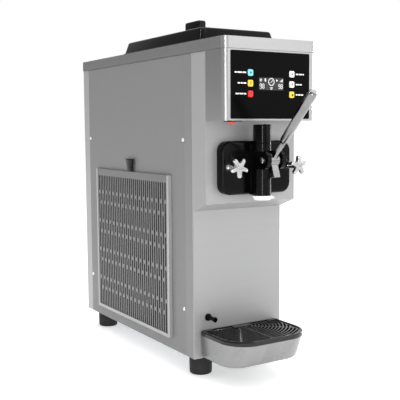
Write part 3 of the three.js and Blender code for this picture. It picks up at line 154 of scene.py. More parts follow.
def add_floor():
    """A wide pale floor, faintly lit so that it meets the white room without a line."""
    side = 60.0
    mesh = bpy.data.meshes.new("floor")
    half = side / 2
    mesh.from_pydata(
        [(-half, -half, 0), (half, -half, 0), (half, half, 0), (-half, half, 0)], [], [(0, 1, 2, 3)]
    )
    floor = bpy.data.objects.new("floor", mesh)
    bpy.context.scene.collection.objects.link(floor)
    paint = bpy.data.materials.new("pale_floor")
    paint.use_nodes = True
    shader = paint.node_tree.nodes["Principled BSDF"]
    shader.inputs["Base Color"].default_value = (0.93, 0.93, 0.93, 1)
    shader.inputs["Roughness"].default_value = 0.85
    shader.inputs["Specular IOR Level"].default_value = 0.0
    shader.inputs["Emission Color"].default_value = (1, 1, 1, 1)
    shader.inputs["Emission Strength"].default_value = 0.38
    mesh.materials.append(paint)


# ---------------------------------------------------------------- material helpers

class Paint:
    """A Principled material whose textures use object coordinates, so they move with the piece."""

    def __init__(self, name, colour, roughness, metallic=0.0):
        self.material = bpy.data.materials.new(name)
        self.material.use_nodes = True
        self.nodes = self.material.node_tree.nodes
        self.links = self.material.node_tree.links
        self.shader = self.nodes["Principled BSDF"]
        self.shader.inputs["Base Color"].default_value = (*colour, 1)
        self.shader.inputs["Roughness"].default_value = roughness
        self.shader.inputs["Metallic"].default_value = metallic
        self.coordinates = self.nodes.new("ShaderNodeTexCoord")
        self.normal = None

    def set(self, **values):
        """Constants set straight on the shader's own sockets."""
        for name, value in values.items():
            self.shader.inputs[name.replace("_", " ")].default_value = value
        return self

    def noise(self, scale, stretch=(1, 1, 1), detail=4.0, rough=0.55):
        mapping = self.nodes.new("ShaderNodeMapping")
        mapping.inputs["Scale"].default_value = stretch
        self.links.new(self.coordinates.outputs["Object"], mapping.inputs["Vector"])
        texture = self.nodes.new("ShaderNodeTexNoise")
        texture.inputs["Scale"].default_value = scale
        texture.inputs["Detail"].default_value = detail
        texture.inputs["Roughness"].default_value = rough
        self.links.new(mapping.outputs["Vector"], texture.inputs["Vector"])
        return texture.outputs["Fac"]

    def spread(self, value, low, high, from_low=0.3, from_high=0.7):
        """The value mapped from from_low..from_high to low..high."""
        node = self.nodes.new("ShaderNodeMapRange")
        settings = {"From Min": from_low, "From Max": from_high, "To Min": low, "To Max": high}
        for name, number in settings.items():
            node.inputs[name].default_value = number
        self.links.new(value, node.inputs["Value"])
        return node.outputs["Result"]

    def times(self, a, b):
        node = self.nodes.new("ShaderNodeMath")
        node.operation = "MULTIPLY"
        self.links.new(a, node.inputs[0])
        self.links.new(b, node.inputs[1])
        return node.outputs["Value"]

    def tint(self, value, dark, light):
        """Base colour running from dark to light with the value."""
        mix = self.nodes.new("ShaderNodeMix")
        mix.data_type = "RGBA"
        mix.inputs[6].default_value = (*dark, 1)
        mix.inputs[7].default_value = (*light, 1)
        self.links.new(value, mix.inputs[0])
        self.links.new(mix.outputs[2], self.shader.inputs["Base Color"])
        return self

    def rough(self, value):
        self.links.new(value, self.shader.inputs["Roughness"])
        return self

    def bump(self, height, distance, strength=1.0):
        node = self.nodes.new("ShaderNodeBump")
        node.inputs["Distance"].default_value = distance
        node.inputs["Strength"].default_value = strength
        self.links.new(height, node.inputs["Height"])
        if self.normal is not None:
            self.links.new(self.normal, node.inputs["Normal"])
        self.normal = node.outputs["Normal"]
        self.links.new(self.normal, self.shader.inputs["Normal"])
        return self


def brushed_steel(name, along, grey=0.42, roughness=0.45, metallic=0.5):
    """Stainless sheet with fine brush lines along one axis (0, 1 or 2) and faint handling marks."""
    colour = (grey, grey, grey * 1.008)
    paint = Paint(name, colour, roughness, metallic)
    stretch = [1.0, 1.0, 1.0]
    stretch[along] = 0.02
    lines = paint.noise(1400, stretch, detail=3)
    broad = paint.noise(240, stretch, detail=2)
    marks = paint.noise(9, detail=5, rough=0.6)
    dark = tuple(c * 0.99 for c in colour)
    light = tuple(min(1.0, c * 1.01) for c in colour)
    paint.tint(paint.spread(broad, 0, 1), dark, light)
    paint.rough(paint.spread(paint.times(lines, marks), roughness - 0.02, roughness + 0.03, 0.15, 0.4))
    paint.bump(lines, 0.000003, 0.25)
    paint.set(Specular_IOR_Level=0.2)
    return paint.material


def plain_metal(name, colour, roughness, scale=700, distance=0.00004):
    """Bare or cast metal: a fine grain, with patches that are duller."""
    paint = Paint(name, colour, roughness, 1.0)
    grain = paint.noise(scale, detail=4)
    patches = paint.noise(30, detail=4)
    paint.tint(paint.spread(patches, 0, 1), tuple(c * 0.86 for c in colour), colour)
    paint.rough(paint.spread(patches, roughness - 0.04, roughness + 0.1))
    paint.bump(grain, distance, 0.5)
    return paint.material


def polished_steel(name, along, roughness=0.14, grey=0.74):
    """Turned and polished stainless with hairline marks across its length."""
    paint = Paint(name, (grey, grey, grey * 1.01), roughness, 1.0)
    stretch = [0.05, 0.05, 0.05]
    stretch[along] = 1.0
    rings = paint.noise(2600, stretch, detail=3)
    patches = paint.noise(60, detail=3)
    paint.tint(paint.spread(patches, 0, 1), (grey * 0.9,) * 3, (grey * 1.08,) * 3)
    paint.rough(paint.spread(paint.times(rings, patches), roughness - 0.05, roughness + 0.1, 0.15, 0.4))
    paint.bump(rings, 0.00001, 0.4)
    return paint.material


def moulded_plastic(name, colour, roughness=0.3, grain=0.00004, coat=0.0, specular=0.5):
    """Moulded plastic: a fine spark-eroded grain and slow changes of gloss."""
    paint = Paint(name, colour, roughness)
    fine = paint.noise(1500, detail=3)
    slow = paint.noise(22, detail=4)
    light = tuple(min(1.0, c * 1.2) for c in colour)
    paint.tint(paint.spread(slow, 0, 1), colour, light)
    paint.rough(paint.spread(slow, roughness - 0.03, roughness + 0.05))
    paint.bump(fine, grain, 0.5)
    paint.set(Coat_Weight=coat, Coat_Roughness=0.05, Specular_IOR_Level=specular)
    return paint.material


def rubber(name, colour=(0.008, 0.008, 0.0085)):
    """Black rubber with a fine grain and dusty, duller patches."""
    paint = Paint(name, colour, 0.75)
    fine = paint.noise(900, detail=5)
    dust = paint.noise(45, detail=6, rough=0.7)
    paint.tint(paint.spread(dust, 0, 1, 0.5, 0.8), colour, tuple(c * 2.4 for c in colour))
    paint.rough(paint.spread(dust, 0.55, 0.85))
    paint.bump(fine, 0.0001, 0.6)
    return paint.material


def foam(name):
    """Sprayed insulation foam with an uneven skin."""
    paint = Paint(name, (0.72, 0.6, 0.32), 0.95)
    cells = paint.noise(260, detail=6, rough=0.7)
    paint.tint(paint.spread(cells, 0, 1), (0.6, 0.48, 0.24), (0.8, 0.68, 0.4))
    paint.bump(cells, 0.0012, 0.8)
    return paint.material


def circuit_board(name):
    """Green solder mask with lighter tracks under it."""
    paint = Paint(name, (0.03, 0.17, 0.07), 0.35)
    tracks = paint.noise(120, (1, 1, 4), detail=1)
    paint.tint(paint.spread(tracks, 0, 1, 0.48, 0.52), (0.02, 0.12, 0.05), (0.06, 0.26, 0.1))
    paint.bump(tracks, 0.00008, 0.6)
    return paint.material


def dark(grey, blue):
    """A grey with a trace more blue."""
    return grey, grey, blue


def make_materials():
    """One material for each finish in the record, and the extra ones that only the detail needs."""
    return {
        "brushed_steel": brushed_steel("brushed_steel", 2),
        "steel_across": brushed_steel("steel_across", 0, 0.35, 0.45, 0.35),
        # painted shade: a darker copy of the casing steel for the side panels, which face away from the lamps
        "shaded_side_steel": brushed_steel("shaded_side_steel", 2, 0.228, 0.45, 0.3),
        "filter_steel": brushed_steel("filter_steel", 2, 0.19, 0.3, 0.6),
        "blackened_steel": plain_metal("blackened_steel", (0.03, 0.03, 0.032), 0.4),
        "steel_satin": brushed_steel("steel_satin", 0, 0.38, 0.3, 0.9),
        "steel_light": brushed_steel("steel_light", 2, 0.42, 0.4),
        # painted shade: a darker copy of the front panel's steel for the flanges that face sideways
        "shaded_flange_steel": brushed_steel("shaded_flange_steel", 2, 0.25, 0.4, 0.4),
        "polished_steel": polished_steel("polished_steel", 1),
        "bright_steel": plain_metal("bright_steel", (0.95, 0.95, 0.96), 0.3),
        "galvanised_steel": plain_metal("galvanised_steel", (0.5, 0.52, 0.54), 0.42, 90, 0.0002),
        "aluminium": plain_metal("aluminium", (0.62, 0.64, 0.66), 0.4),
        "copper_pipe": plain_metal("copper_pipe", (0.72, 0.38, 0.22), 0.3),
        "black_enamel": moulded_plastic("black_enamel", (0.02, 0.02, 0.022), 0.35, 0.0001),
        "black_plastic": moulded_plastic("black_plastic", (0.0025, 0.0025, 0.003), 0.24, specular=0.14),
        "gloss_black_panel": moulded_plastic(
            "gloss_black_panel", dark(0.0012, 0.0014), 0.16, 0.000004, specular=0.04),
        "lid_plastic": moulded_plastic("lid_plastic", dark(0.0014, 0.0017), 0.1, 0.000003, specular=0.16),
        "head_plastic": moulded_plastic("head_plastic", dark(0.0012, 0.0014), 0.15, 0.000006, specular=0.12),
        "cover_plastic": moulded_plastic("cover_plastic", dark(0.003, 0.0034), 0.13, 0.000003, specular=0.4),
        "handle_steel": polished_steel("handle_steel", 2, 0.14, 0.25),
        "chrome": polished_steel("chrome", 1, 0.2, 0.5),
        "tray_steel": plain_metal("tray_steel", (0.31, 0.31, 0.312), 0.26, 500, 0.000002),
        "white_plastic": moulded_plastic("white_plastic", (0.82, 0.82, 0.8), 0.35),
        "black_rubber": rubber("black_rubber"),
        "circuit_board": circuit_board("circuit_board"),
        "insulation_foam": foam("insulation_foam"),
        "cyan_key": moulded_plastic("cyan_key", (0.16, 0.62, 0.84), 0.25, 0.00002),
        "yellow_key": moulded_plastic("yellow_key", (0.86, 0.55, 0.03), 0.25, 0.00002),
        "red_key": moulded_plastic("red_key", (0.72, 0.008, 0.008), 0.25, 0.00002),
        "rocker_red": moulded_plastic("rocker_red", (0.6, 0.03, 0.008), 0.22, 0.00002),
        "foot_rubber": rubber("foot_rubber", (0.004, 0.004, 0.0042)),
        "display_glass": moulded_plastic("display_glass", dark(0.045, 0.047), 0.16, 0.000004, specular=0.04),
        "white_print": moulded_plastic("white_print", (0.8, 0.8, 0.8), 0.4, 0.00001),
        "dark_print": moulded_plastic("dark_print", (0.03, 0.03, 0.03), 0.4, 0.00001),
    }


MATERIALS = make_materials()


# ---------------------------------------------------------------- mesh helpers

def along_z(u, v, w):
    return Vector((u, v, w))


def along_y(u, v, w):
    return Vector((u, w, v))


def along_x(u, v, w):
    return Vector((w, u, v))


def arc(u, v, radius, start, end, steps):
    """Points on an arc, angles in degrees."""
    angles = [math.radians(start + (end - start) * i / steps) for i in range(steps + 1)]
    return [(u + radius * math.cos(a), v + radius * math.sin(a)) for a in angles]


def round_rect(u0, u1, v0, v1, radii, steps=6):
    """A rectangle with arcs for corners; radii go lower-left, lower-right, upper-right, upper-left."""
    a, b, c, d = radii if isinstance(radii, (tuple, list)) else (radii,) * 4
    points = arc(u0 + a, v0 + a, a, 180, 270, steps)
    points += arc(u1 - b, v0 + b, b, 270, 360, steps)
    points += arc(u1 - c, v1 - c, c, 0, 90, steps)
    points += arc(u0 + d, v1 - d, d, 90, 180, steps)
    return points


def add_ring(bm, outline, w, place):
    return [bm.verts.new(place(u, v, w)) for u, v in outline]


def bridge(bm, first, second):
    count = len(first)
    for i in range(count):
        j = (i + 1) % count
        bm.faces.new((first[i], first[j], second[j], second[i]))


def loft(bm, sections, place=along_z, closed=False):
    """A skin through [outline, height] sections of equal count, with end caps or closed on itself."""
    rings = [add_ring(bm, outline, w, place) for outline, w in sections]
    for first, second in zip(rings, rings[1:]):
        bridge(bm, first, second)
    if closed:
        bridge(bm, rings[-1], rings[0])
    else:
        bm.faces.new(rings[0])
        bm.faces.new(rings[-1])
    return rings


def lathe(bm, profile, place=along_z, steps=40, centre=(0.0, 0.0), closed=False):
    """A solid of revolution from [radius, height] points; it starts and ends on the axis, or closes."""
    u0, v0 = centre
    rings = []
    for radius, w in profile:
        if radius < 1e-7:
            rings.append([bm.verts.new(place(u0, v0, w))])
            continue
        angles = [2 * math.pi * i / steps for i in range(steps)]
        outline = [(u0 + radius * math.cos(a), v0 + radius * math.sin(a)) for a in angles]
        rings.append(add_ring(bm, outline, w, place))
    pairs = list(zip(rings, rings[1:]))
    if closed:
        pairs.append((rings[-1], rings[0]))
    for first, second in pairs:
        if len(first) == 1 and len(second) == 1:
            continue
        if len(first) == 1:
            for i in range(steps):
                bm.faces.new((first[0], second[i], second[(i + 1) % steps]))
        elif len(second) == 1:
            for i in range(steps):
                bm.faces.new((second[0], first[(i + 1) % steps], first[i]))
        else:
            bridge(bm, first, second)


def pierced(bm, outline, holes, w0, w1, place=along_z, edge=0.0):
    """A flat plate with holes from w0 to w1, its edges rounded by edge, joined into bm."""
    curve = bpy.data.curves.new("pierced", "CURVE")
    curve.dimensions = "2D"
    curve.fill_mode = "BOTH"
    curve.extrude = abs(w1 - w0) / 2 - edge
    curve.bevel_depth = edge
    curve.bevel_resolution = 1
    curve.offset = -edge
    for points in [outline, *holes]:
        spline = curve.splines.new("POLY")
        spline.points.add(len(points) - 1)
        for target, (u, v) in zip(spline.points, points):
            target.co = (u, v, 0, 1)
        spline.use_cyclic_u = True
    holder = bpy.data.objects.new("pierced", curve)
    bpy.context.scene.collection.objects.link(holder)
    bpy.context.view_layer.update()
    mesh = bpy.data.meshes.new_from_object(holder.evaluated_get(bpy.context.evaluated_depsgraph_get()))
    middle = (w0 + w1) / 2
    part = bmesh.new()
    part.from_mesh(mesh)
    for vert in part.verts:
        vert.co = place(vert.co.x, vert.co.y, vert.co.z + middle)
    bmesh.ops.remove_doubles(part, verts=part.verts, dist=1e-6)
    part.to_mesh(mesh)
    part.free()
    bm.from_mesh(mesh)
    bpy.data.objects.remove(holder)
    bpy.data.curves.remove(curve)
    bpy.data.meshes.remove(mesh)


def shade(mesh, angle=32):
    """Smooth faces, with the edges that turn more than the angle kept sharp."""
    bm = bmesh.new()
    bm.from_mesh(mesh)
    bmesh.ops.recalc_face_normals(bm, faces=bm.faces)
    limit = math.radians(angle)
    for face in bm.faces:
        face.smooth = True
    for edge in bm.edges:
        edge.smooth = len(edge.link_faces) == 2 and edge.calc_face_angle(0.0) < limit
    bm.to_mesh(mesh)
    bm.free()


def soften(piece, width, segments=2, angle=30):
    """Rounds a piece's edges with a bevel that leaves its flats flat."""
    bevel = piece.modifiers.new("soft_edges", "BEVEL")
    bevel.width = width
    bevel.segments = segments
    bevel.limit_method = "ANGLE"
    bevel.angle_limit = math.radians(angle)
    bevel.harden_normals = True


def make_piece(name, bm, material, body="machine", stands_for=(), slot=None, edge=0.0, sharp=32):
    """Turns bm into a piece that rides on a body, wears a material and stands for CAD nodes."""
    mesh = bpy.data.meshes.new(name)
    bm.to_mesh(mesh)
    bm.free()
    shade(mesh, 180 if edge else sharp)
    mesh.materials.append(MATERIALS[material])
    piece = bpy.data.objects.new(name, mesh)
    bpy.context.scene.collection.objects.link(piece)
    if edge:
        soften(piece, edge)
    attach(piece, body)
    if stands_for:
        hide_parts(*stands_for)
        slot = slot or SLOT_OF[stands_for[0]]
    return piece


# ---------------------------------------------------------------- CAD nodes that stay

def keep_cad_nodes():
    """Every CAD node wears a finish and soft edges; a sheet's flats are kept flat."""
    finish_of = {
        "top_deck": "steel_satin",
        "control_cowl": "steel_satin",
        "front_panel": "steel_across",
        "rear_panel": "steel_light",
        "knob_washer_left": "blackened_steel",
        "knob_washer_right": "blackened_steel",
        # the side panels take the darker steel copy, painted shade on their sideways faces
        "left_side_panel": "shaded_side_steel",
        "right_side_panel": "shaded_side_steel",
    }
    soft = {
        "left_side_panel": 0.5, "right_side_panel": 0.4, "rear_panel": 0.5, "front_panel": 0.6,
        "control_cowl": 0.5, "top_deck": 0.8, "hopper": 0.4, "base_pan": 0.4, "cylinder_shelf": 0.4,
        "gearbox": 1.0, "electrical_box": 1.0, "filter_pocket": 0.25,
    }
    for name, node in NODES.items():
        material = MATERIALS[finish_of.get(name, SLOT_OF[name])]
        node.data.materials.clear()
        node.data.materials.append(material)
        for face in node.data.polygons:
            face.use_smooth = True
        weld = node.modifiers.new("weld", "WELD")
        weld.merge_threshold = 1e-5
        soften(node, soft.get(name, 0.25) * MM)
        flats = node.modifiers.new("flat_faces", "WEIGHTED_NORMAL")
        flats.mode = "FACE_AREA"
        flats.weight = 100
        flats.keep_sharp = False


# ---------------------------------------------------------------- casing details

def screw_head(bm, centre, outward, radius=4.4 * MM, height=1.9 * MM):
    """A domed cross-head screw standing on a panel."""
    profile = [(0, 0), (radius, 0), (radius, height * 0.3), (radius * 0.86, height * 0.72)]
    profile += [(radius * 0.5, height * 0.97), (radius * 0.3, height), (radius * 0.24, height * 0.45)]
    profile += [(0, height * 0.4)]
    turn = outward.to_track_quat("Z", "Y").to_matrix()
    centre = Vector(centre)
    lathe(bm, profile, lambda u, v, w: centre + turn @ Vector((u, v, w)), steps=20)


def add_panel_screws():
    """Four screws on each side panel and six on the rear one."""
    inset = 8 * MM
    heights = (149 * MM, 518 * MM)
    sides = (("left_panel_screws", LEFT, LEFT[0], -1), ("right_panel_screws", RIGHT, RIGHT[1], 1))
    for name, panel, x, way in sides:
        bm = bmesh.new()
        for y in (panel[2] + inset, panel[3] - inset):
            for z in heights:
                screw_head(bm, (x, y, z), Vector((way, 0, 0)))
        make_piece(name, bm, "bright_steel", slot="polished_steel")
    bm = bmesh.new()
    for x in (REAR[0] + inset, REAR[1] - inset):
        for z in (REAR[4] + 2 * inset, (REAR[4] + REAR[5]) / 2, REAR[5] - 2 * inset):
            screw_head(bm, (x, REAR[3], z), Vector((0, 1, 0)))
    make_piece("rear_panel_screws", bm, "polished_steel", slot="polished_steel")


def add_feet():
    """Rubber feet with a rounded tread and a waist groove."""
    for side in ("front_left", "rear_left", "front_right", "rear_right"):
        x0, x1, y0, y1, z0, z1 = corners(f"foot_{side}")
        radius = (x1 - x0) / 2
        centre = ((x0 + x1) / 2, (y0 + y1) / 2)
        profile = [(0, z0 + 2 * MM), (8 * MM, z0 + 2 * MM), (9 * MM, z0), (radius - 5 * MM, z0)]
        profile += [(radius - 5 * MM + 4 * MM * math.sin(a), z0 + 4 * MM * (1 - math.cos(a)))
                    for a in (math.radians(d) for d in (30, 60, 90))]
        profile += [(radius - 0.4 * MM, z1 - 8 * MM), (radius - 1.2 * MM, z1 - 7 * MM)]
        profile += [(radius - 1.2 * MM, z1 - 5.6 * MM), (radius, z1 - 5 * MM), (radius, z1 - 1 * MM)]
        profile += [(radius - 1 * MM, z1), (0, z1)]
        bm = bmesh.new()
        lathe(bm, profile, steps=48, centre=centre)
        make_piece(f"rubber_foot_{side}", bm, "foot_rubber", stands_for=(f"foot_{side}",))


# ---------------------------------------------------------------- hopper lid

def add_lid():
    """The black lid: a foot lip, sloping sides, a sunk border on top and a block grip."""
    x0, x1, y0, y1, z0, z1 = corners("hopper_lid")
    height = 31 * MM  # without the grip
    wall = 3 * MM
    top = z0 + height

    def ring(inset, corner, z):
        return round_rect(x0 + inset, x1 - inset, y0 + inset, y1 - inset, corner, 6), z

    sections = [
        ring(0.3 * MM, 9.7 * MM, z0),
        ring(0, 10 * MM, z0 + 0.6 * MM),
        ring(0, 10 * MM, z0 + 4.4 * MM),
        ring(0.5 * MM, 10 * MM, z0 + 5 * MM),
        ring(2.2 * MM, 11 * MM, z0 + 5.4 * MM),
        ring(8.0 * MM, 12 * MM, top - 3.2 * MM),
        ring(9.0 * MM, 12 * MM, top - 1.2 * MM),
        ring(10.6 * MM, 12 * MM, top - 0.3 * MM),
        ring(12.8 * MM, 12 * MM, top),
        ring(20 * MM, 12 * MM, top),
        ring(21.5 * MM, 12 * MM, top - 1.6 * MM),
        ring(24 * MM, 12 * MM, top - 1.8 * MM),
        ring(26 * MM, 12 * MM, top - 0.2 * MM),
        ring(60 * MM, 12 * MM, top),
        ring(60 * MM, 12 * MM, top - wall),
        ring(wall + 8.5 * MM, 10 * MM, top - wall),
        ring(wall + 0.5 * MM, 8 * MM, z0 + 4 * MM),
        ring(wall, 8 * MM, z0),
    ]
    bm = bmesh.new()
    rings = loft(bm, sections, closed=True)
    bm.faces.new(rings[13])
    bm.faces.new(rings[14])
    hidden = set(rings[13]) | set(rings[14])
    inner = [face for face in bm.faces if set(face.verts) <= hidden and len(face.verts) == 4]
    bmesh.ops.delete(bm, geom=inner, context="FACES_ONLY")
    centre = (y0 + y1) / 2
    middle = (x0 + x1) / 2
    half_x, half_y = 11 * MM, 31 * MM  # the grip's half sizes

    def grip(inset, z):
        corner = 4.5 * MM - min(inset, 3 * MM) * 0.5
        return round_rect(
            middle - half_x + inset, middle + half_x - inset,
            centre - half_y + inset, centre + half_y - inset, corner, 5,
        ), z

    loft(bm, [
        grip(-2.5 * MM, top - 0.6 * MM),
        grip(-1.2 * MM, top + 0.6 * MM),
        grip(-0.3 * MM, top + 2.5 * MM),
        grip(0, top + 6 * MM),
        grip(0, z1 - 5 * MM),
        grip(0.6 * MM, z1 - 2.4 * MM),
        grip(1.8 * MM, z1 - 0.7 * MM),
        grip(3.6 * MM, z1),
    ])
    make_piece("lid_shell", bm, "lid_plastic", body="lid", stands_for=("hopper_lid",), sharp=50)


# ---------------------------------------------------------------- air filter and its pocket

def slot_outline(u, v0, v1, half):
    """A tall slot with round ends, centred on u."""
    return arc(u, v1 - half, half, 0, 180, 4) + arc(u, v0 + half, half, 180, 360, 4)


def add_filter():
    """A pressed sheet with staggered slots in a folded frame, and a near-black pane behind it, painted shade
    for the dark depth seen through the slots.
    """
    x0, x1, y0, y1, z0, z1 = corners("air_filter")
    border = 6 * MM
    top_strip = 16 * MM
    pitch = 10.4 * MM
    slot_half = 3.1 * MM
    repeat = 75.4 * MM
    bridge_height = 7.5 * MM
    stagger = repeat - 26.9 * MM
    low, high = z0 + border, z1 - top_strip
    first_bridge = z1 - 60 * MM
    count = int((y1 - y0 - 2 * border) / pitch)
    spare = (y1 - y0 - count * pitch) / 2 + pitch / 2
    holes = []
    for column in range(count):
        y = y0 + spare + column * pitch
        upper = high
        bridge_z = first_bridge - (column % 2) * (repeat - stagger)
        while upper - low > 12 * MM:
            lower = max(low, bridge_z + bridge_height / 2)
            if lower - low < 10 * MM:
                lower = low
            holes.append(slot_outline(y, lower, upper, slot_half))
            upper = lower - bridge_height
            bridge_z -= repeat
    bm = bmesh.new()
    sheet = 1.2 * MM
    outline = round_rect(y0, y1, z0, z1, 2 * MM, 3)
    pierced(bm, outline, holes, x0, x0 + sheet, along_x, 0.2 * MM)
    rim = 3.2 * MM
    inner = round_rect(y0 + rim, y1 - rim, z0 + rim, z1 - rim, 1 * MM, 3)
    pierced(bm, outline, [inner], x0 + sheet, x1, along_x, 0.2 * MM)
    make_piece("filter_sheet", bm, "filter_steel", "air_filter_body", ("air_filter",), sharp=10)
    # the backing pane paints the shade seen through the slots
    add_filter_shade_backing(x0 + 2.4 * MM, y0 + rim, y1 - rim, z0 + rim, z1 - rim)


def add_filter_shade_backing(x, y0, y1, z0, z1):
    """One thin near-black backing pane with a fine uneven noise: painted shade seen through the filter's
    slots.
    """
    # painted shade: a near-black pane so that the slots read as dark depth
    paint = Paint("shade_backing_pane", (0.05, 0.05, 0.052), 0.5, 0.6)
    shade_noise = paint.noise(900, (1, 1, 1), detail=1)
    paint.tint(paint.spread(shade_noise, 0, 1), (0.012, 0.012, 0.012), (0.08, 0.08, 0.082))
    paint.bump(shade_noise, 0.0004, 1.0)
    MATERIALS["shade_backing_pane"] = paint.material
    bm = bmesh.new()
    pane = round_rect(y0, y1, z0, z1, 1 * MM, 2)
    loft(bm, [(pane, x), (pane, x + 0.6 * MM)], along_x)
    make_piece("filter_shade_backing", bm, "shade_backing_pane", "air_filter_body", slot="black_enamel")


def add_filter_tab():
    """A moulded pull tab that flares at the top."""
    x0, x1, y0, y1, z0, z1 = corners("filter_tab")
    centre = (y0 + y1) / 2
    height = z1 - z0
    shape = ((0, 13), (0.25, 13.2), (0.5, 15), (0.72, 17.6), (0.9, 20), (1, 21))
    right = [(centre + half * MM, z0 + share * height) for share, half in shape]
    left = [(centre - half * MM, z0 + share * height) for share, half in reversed(shape)]
    bm = bmesh.new()
    pierced(bm, right + left, [], x0, x1, along_x, 0.5 * MM)
    make_piece("pull_tab", bm, "head_plastic", "air_filter_body", ("filter_tab",))


def channel_outline(y0, y1, z0, z1, corner, width):
    """A U seen from the side: both uprights reach z1 and the lower corners are round."""
    outer = [(y0, z1)] + arc(y0 + corner, z0 + corner, corner, 180, 270, 6)
    outer += arc(y1 - corner, z0 + corner, corner, 270, 360, 6) + [(y1, z1)]
    bend = max(corner - width, 0.6 * MM)
    inner = [(y1 - width, z1)] + arc(y1 - width - bend, z0 + width + bend, bend, 360, 270, 4)
    inner += arc(y0 + width + bend, z0 + width + bend, bend, 270, 180, 4) + [(y0 + width, z1)]
    return outer + inner


def add_filter_pocket():
    """The folded channel round the filter: face lips, side walls and a back plate with its window."""
    x0, x1, y0, y1, z0, z1 = corners("filter_pocket")
    wall, lip, window = 0.8 * MM, 8 * MM, 17 * MM
    corner = 5 * MM
    bm = bmesh.new()
    pierced(bm, channel_outline(y0, y1, z0, z1, corner, lip), [], x0, x0 + wall, along_x, 0.3 * MM)
    pierced(bm, channel_outline(y0, y1, z0, z1, corner, wall), [], x0 + wall * 0.6, x1 - wall, along_x)
    back = round_rect(y0, y1, z0, z1, (corner, corner, 1 * MM, 1 * MM), 6)
    hole = round_rect(y0 + window, y1 - window, z0 + window, z1 - window / 2, 3 * MM, 4)
    pierced(bm, back, [hole], x1 - wall, x1, along_x, 0.2 * MM)
    make_piece("pocket_channel", bm, "steel_light", stands_for=("filter_pocket",), sharp=10)


def add_corner_flanges():
    """The front panel's folded flange, standing a little proud of each side, in a darker copy of the steel
    that paints the shade on its sideways face.
    """
    front, back = PANEL_Y + 5 * MM, PANEL_Y + 32.6 * MM
    thick = 0.5 * MM
    for name, x, way in (("left_flange", FRONT[0], -1), ("right_flange", FRONT[1], 1)):
        outline = round_rect(front, back, FRONT[4] + 1 * MM, FRONT[5] - 1 * MM, 0.5 * MM, 2)
        bm = bmesh.new()
        low, high = sorted((x - way * 0.2 * MM, x + way * thick))
        pierced(bm, outline, [], low, high, along_x, 0.15 * MM)
        # the darker steel paints the shade on the flange's sideways face
        make_piece(name, bm, "shaded_flange_steel", slot="brushed_steel", sharp=10)


# ---------------------------------------------------------------- controls

def add_rocker():
    """The red rocker, its lower face hollowed, tipped so that its left end hangs lowest."""
    x0, x1, y0, y1, _, _ = corners("switch_housing")
    pivot_rise = 3.2 * MM
    rest_tilt = math.radians(-20)
    pivot = Vector(((x0 + x1) / 2, (y0 + y1) / 2, COWL[4] + pivot_rise))
    tilt = Matrix.Rotation(rest_tilt, 3, "Y")
    half = 10.5
    shape = [(-half, -8), (-0.7 * half, -7.2), (-0.3 * half, -6.7), (0.3 * half, -6.7), (0.7 * half, -7.2)]
    shape += [(half, -8), (half, -2.5), (4, 4), (-4, 4), (-half, -2.5)]
    outline = [(u * MM, v * MM) for u, v in shape]
    width = 5.5 * MM
    bm = bmesh.new()
    loft(bm, [(outline, -width), (outline, width)], lambda u, v, w: pivot + tilt @ Vector((u, w, v)))
    make_piece("rocker_cap", bm, "rocker_red", "rocker", ("power_rocker",), edge=0.5 * MM)


def add_print(name, shapes, y, material="white_print", body="machine", slot="white_plastic"):
    """Flat printed shapes, a hair proud of a face that looks towards -Y."""
    bm = bmesh.new()
    for outline, *holes in shapes:
        pierced(bm, outline, holes, y - PRINT_DEPTH, y, along_y)
    return make_piece(name, bm, material, body, slot=slot)


def bar(u, v, width, height, angle=0.0):
    """A thin bar with slightly rounded corners, turned about its centre."""
    corner = min(width, height) * 0.3
    points = round_rect(-width / 2, width / 2, -height / 2, height / 2, corner, 2)
    c, s = math.cos(math.radians(angle)), math.sin(math.radians(angle))
    return [(u + x * c - z * s, v + x * s + z * c) for x, z in points]


def disc(u, v, radius, steps=20):
    return arc(u, v, radius, 0, 360, steps)[:-1]


def digit(u, v, height, lit="abcdefg"):
    """A seven-segment figure centred on (u, v)."""
    half_w, half_h, thick = height * 0.24, height / 2, height * 0.13
    reach = height * 0.36
    places = {
        "a": (0, half_h, 1), "g": (0, 0, 1), "d": (0, -half_h, 1),
        "f": (-half_w, half_h / 2, 0), "b": (half_w, half_h / 2, 0),
        "e": (-half_w, -half_h / 2, 0), "c": (half_w, -half_h / 2, 0),
    }
    shapes = []
    for name in lit:
        x, z, flat = places[name]
        size = (reach, thick) if flat else (thick, reach)
        shapes.append([bar(u + x, v + z, *size)])
    return shapes


def snowflake(u, v, size):
    return [[bar(u, v, size, size * 0.14, angle)] for angle in (0, 60, 120)]


def display_window():
    """The window in the fascia, as (x0, x1, z0, z1)."""
    x0, x1, _, _, z0, z1 = corners("display_module")
    frame_width = 4.3 * MM
    return x0 + frame_width, x1 - frame_width, z0 + frame_width, z1 - frame_width


def add_fascia():
    """The gloss plate with its window and key holes, and dashes in place of the key legends."""
    x0, x1, y0, y1, z0, z1 = corners("control_fascia")
    half = 6.6 * MM
    holes = []
    dashes = []
    for side in ("left", "right"):
        for row, words in (("top", (9, 11, 5)), ("middle", (7, 5, 6)), ("bottom", (6, 9, 8))):
            kx0, kx1, _, _, kz0, kz1 = corners(f"button_{side}_{row}")
            u, v = (kx0 + kx1) / 2, (kz0 + kz1) / 2
            holes.append(round_rect(u - half, u + half, v - half, v + half, 2.8 * MM, 4))
            way = -1 if side == "left" else 1
            start = u + way * 10.5 * MM
            for word in words:
                length = word * MM * (1.0 if side == "left" else 0.75)
                dashes.append([bar(start + way * length / 2, v, length, 2.6 * MM)])
                start += way * (length + 1.3 * MM)
    left, right, low, high = display_window()
    holes.append(round_rect(left, right, low, high, 1.5 * MM, 4))
    bm = bmesh.new()
    pierced(bm, round_rect(x0, x1, z0, z1, 2.5 * MM, 5), holes, y0, y1, along_y, 0.25 * MM)
    make_piece("fascia_plate", bm, "gloss_black_panel", stands_for=("control_fascia",), sharp=10)
    add_print("key_legends", dashes, y0)


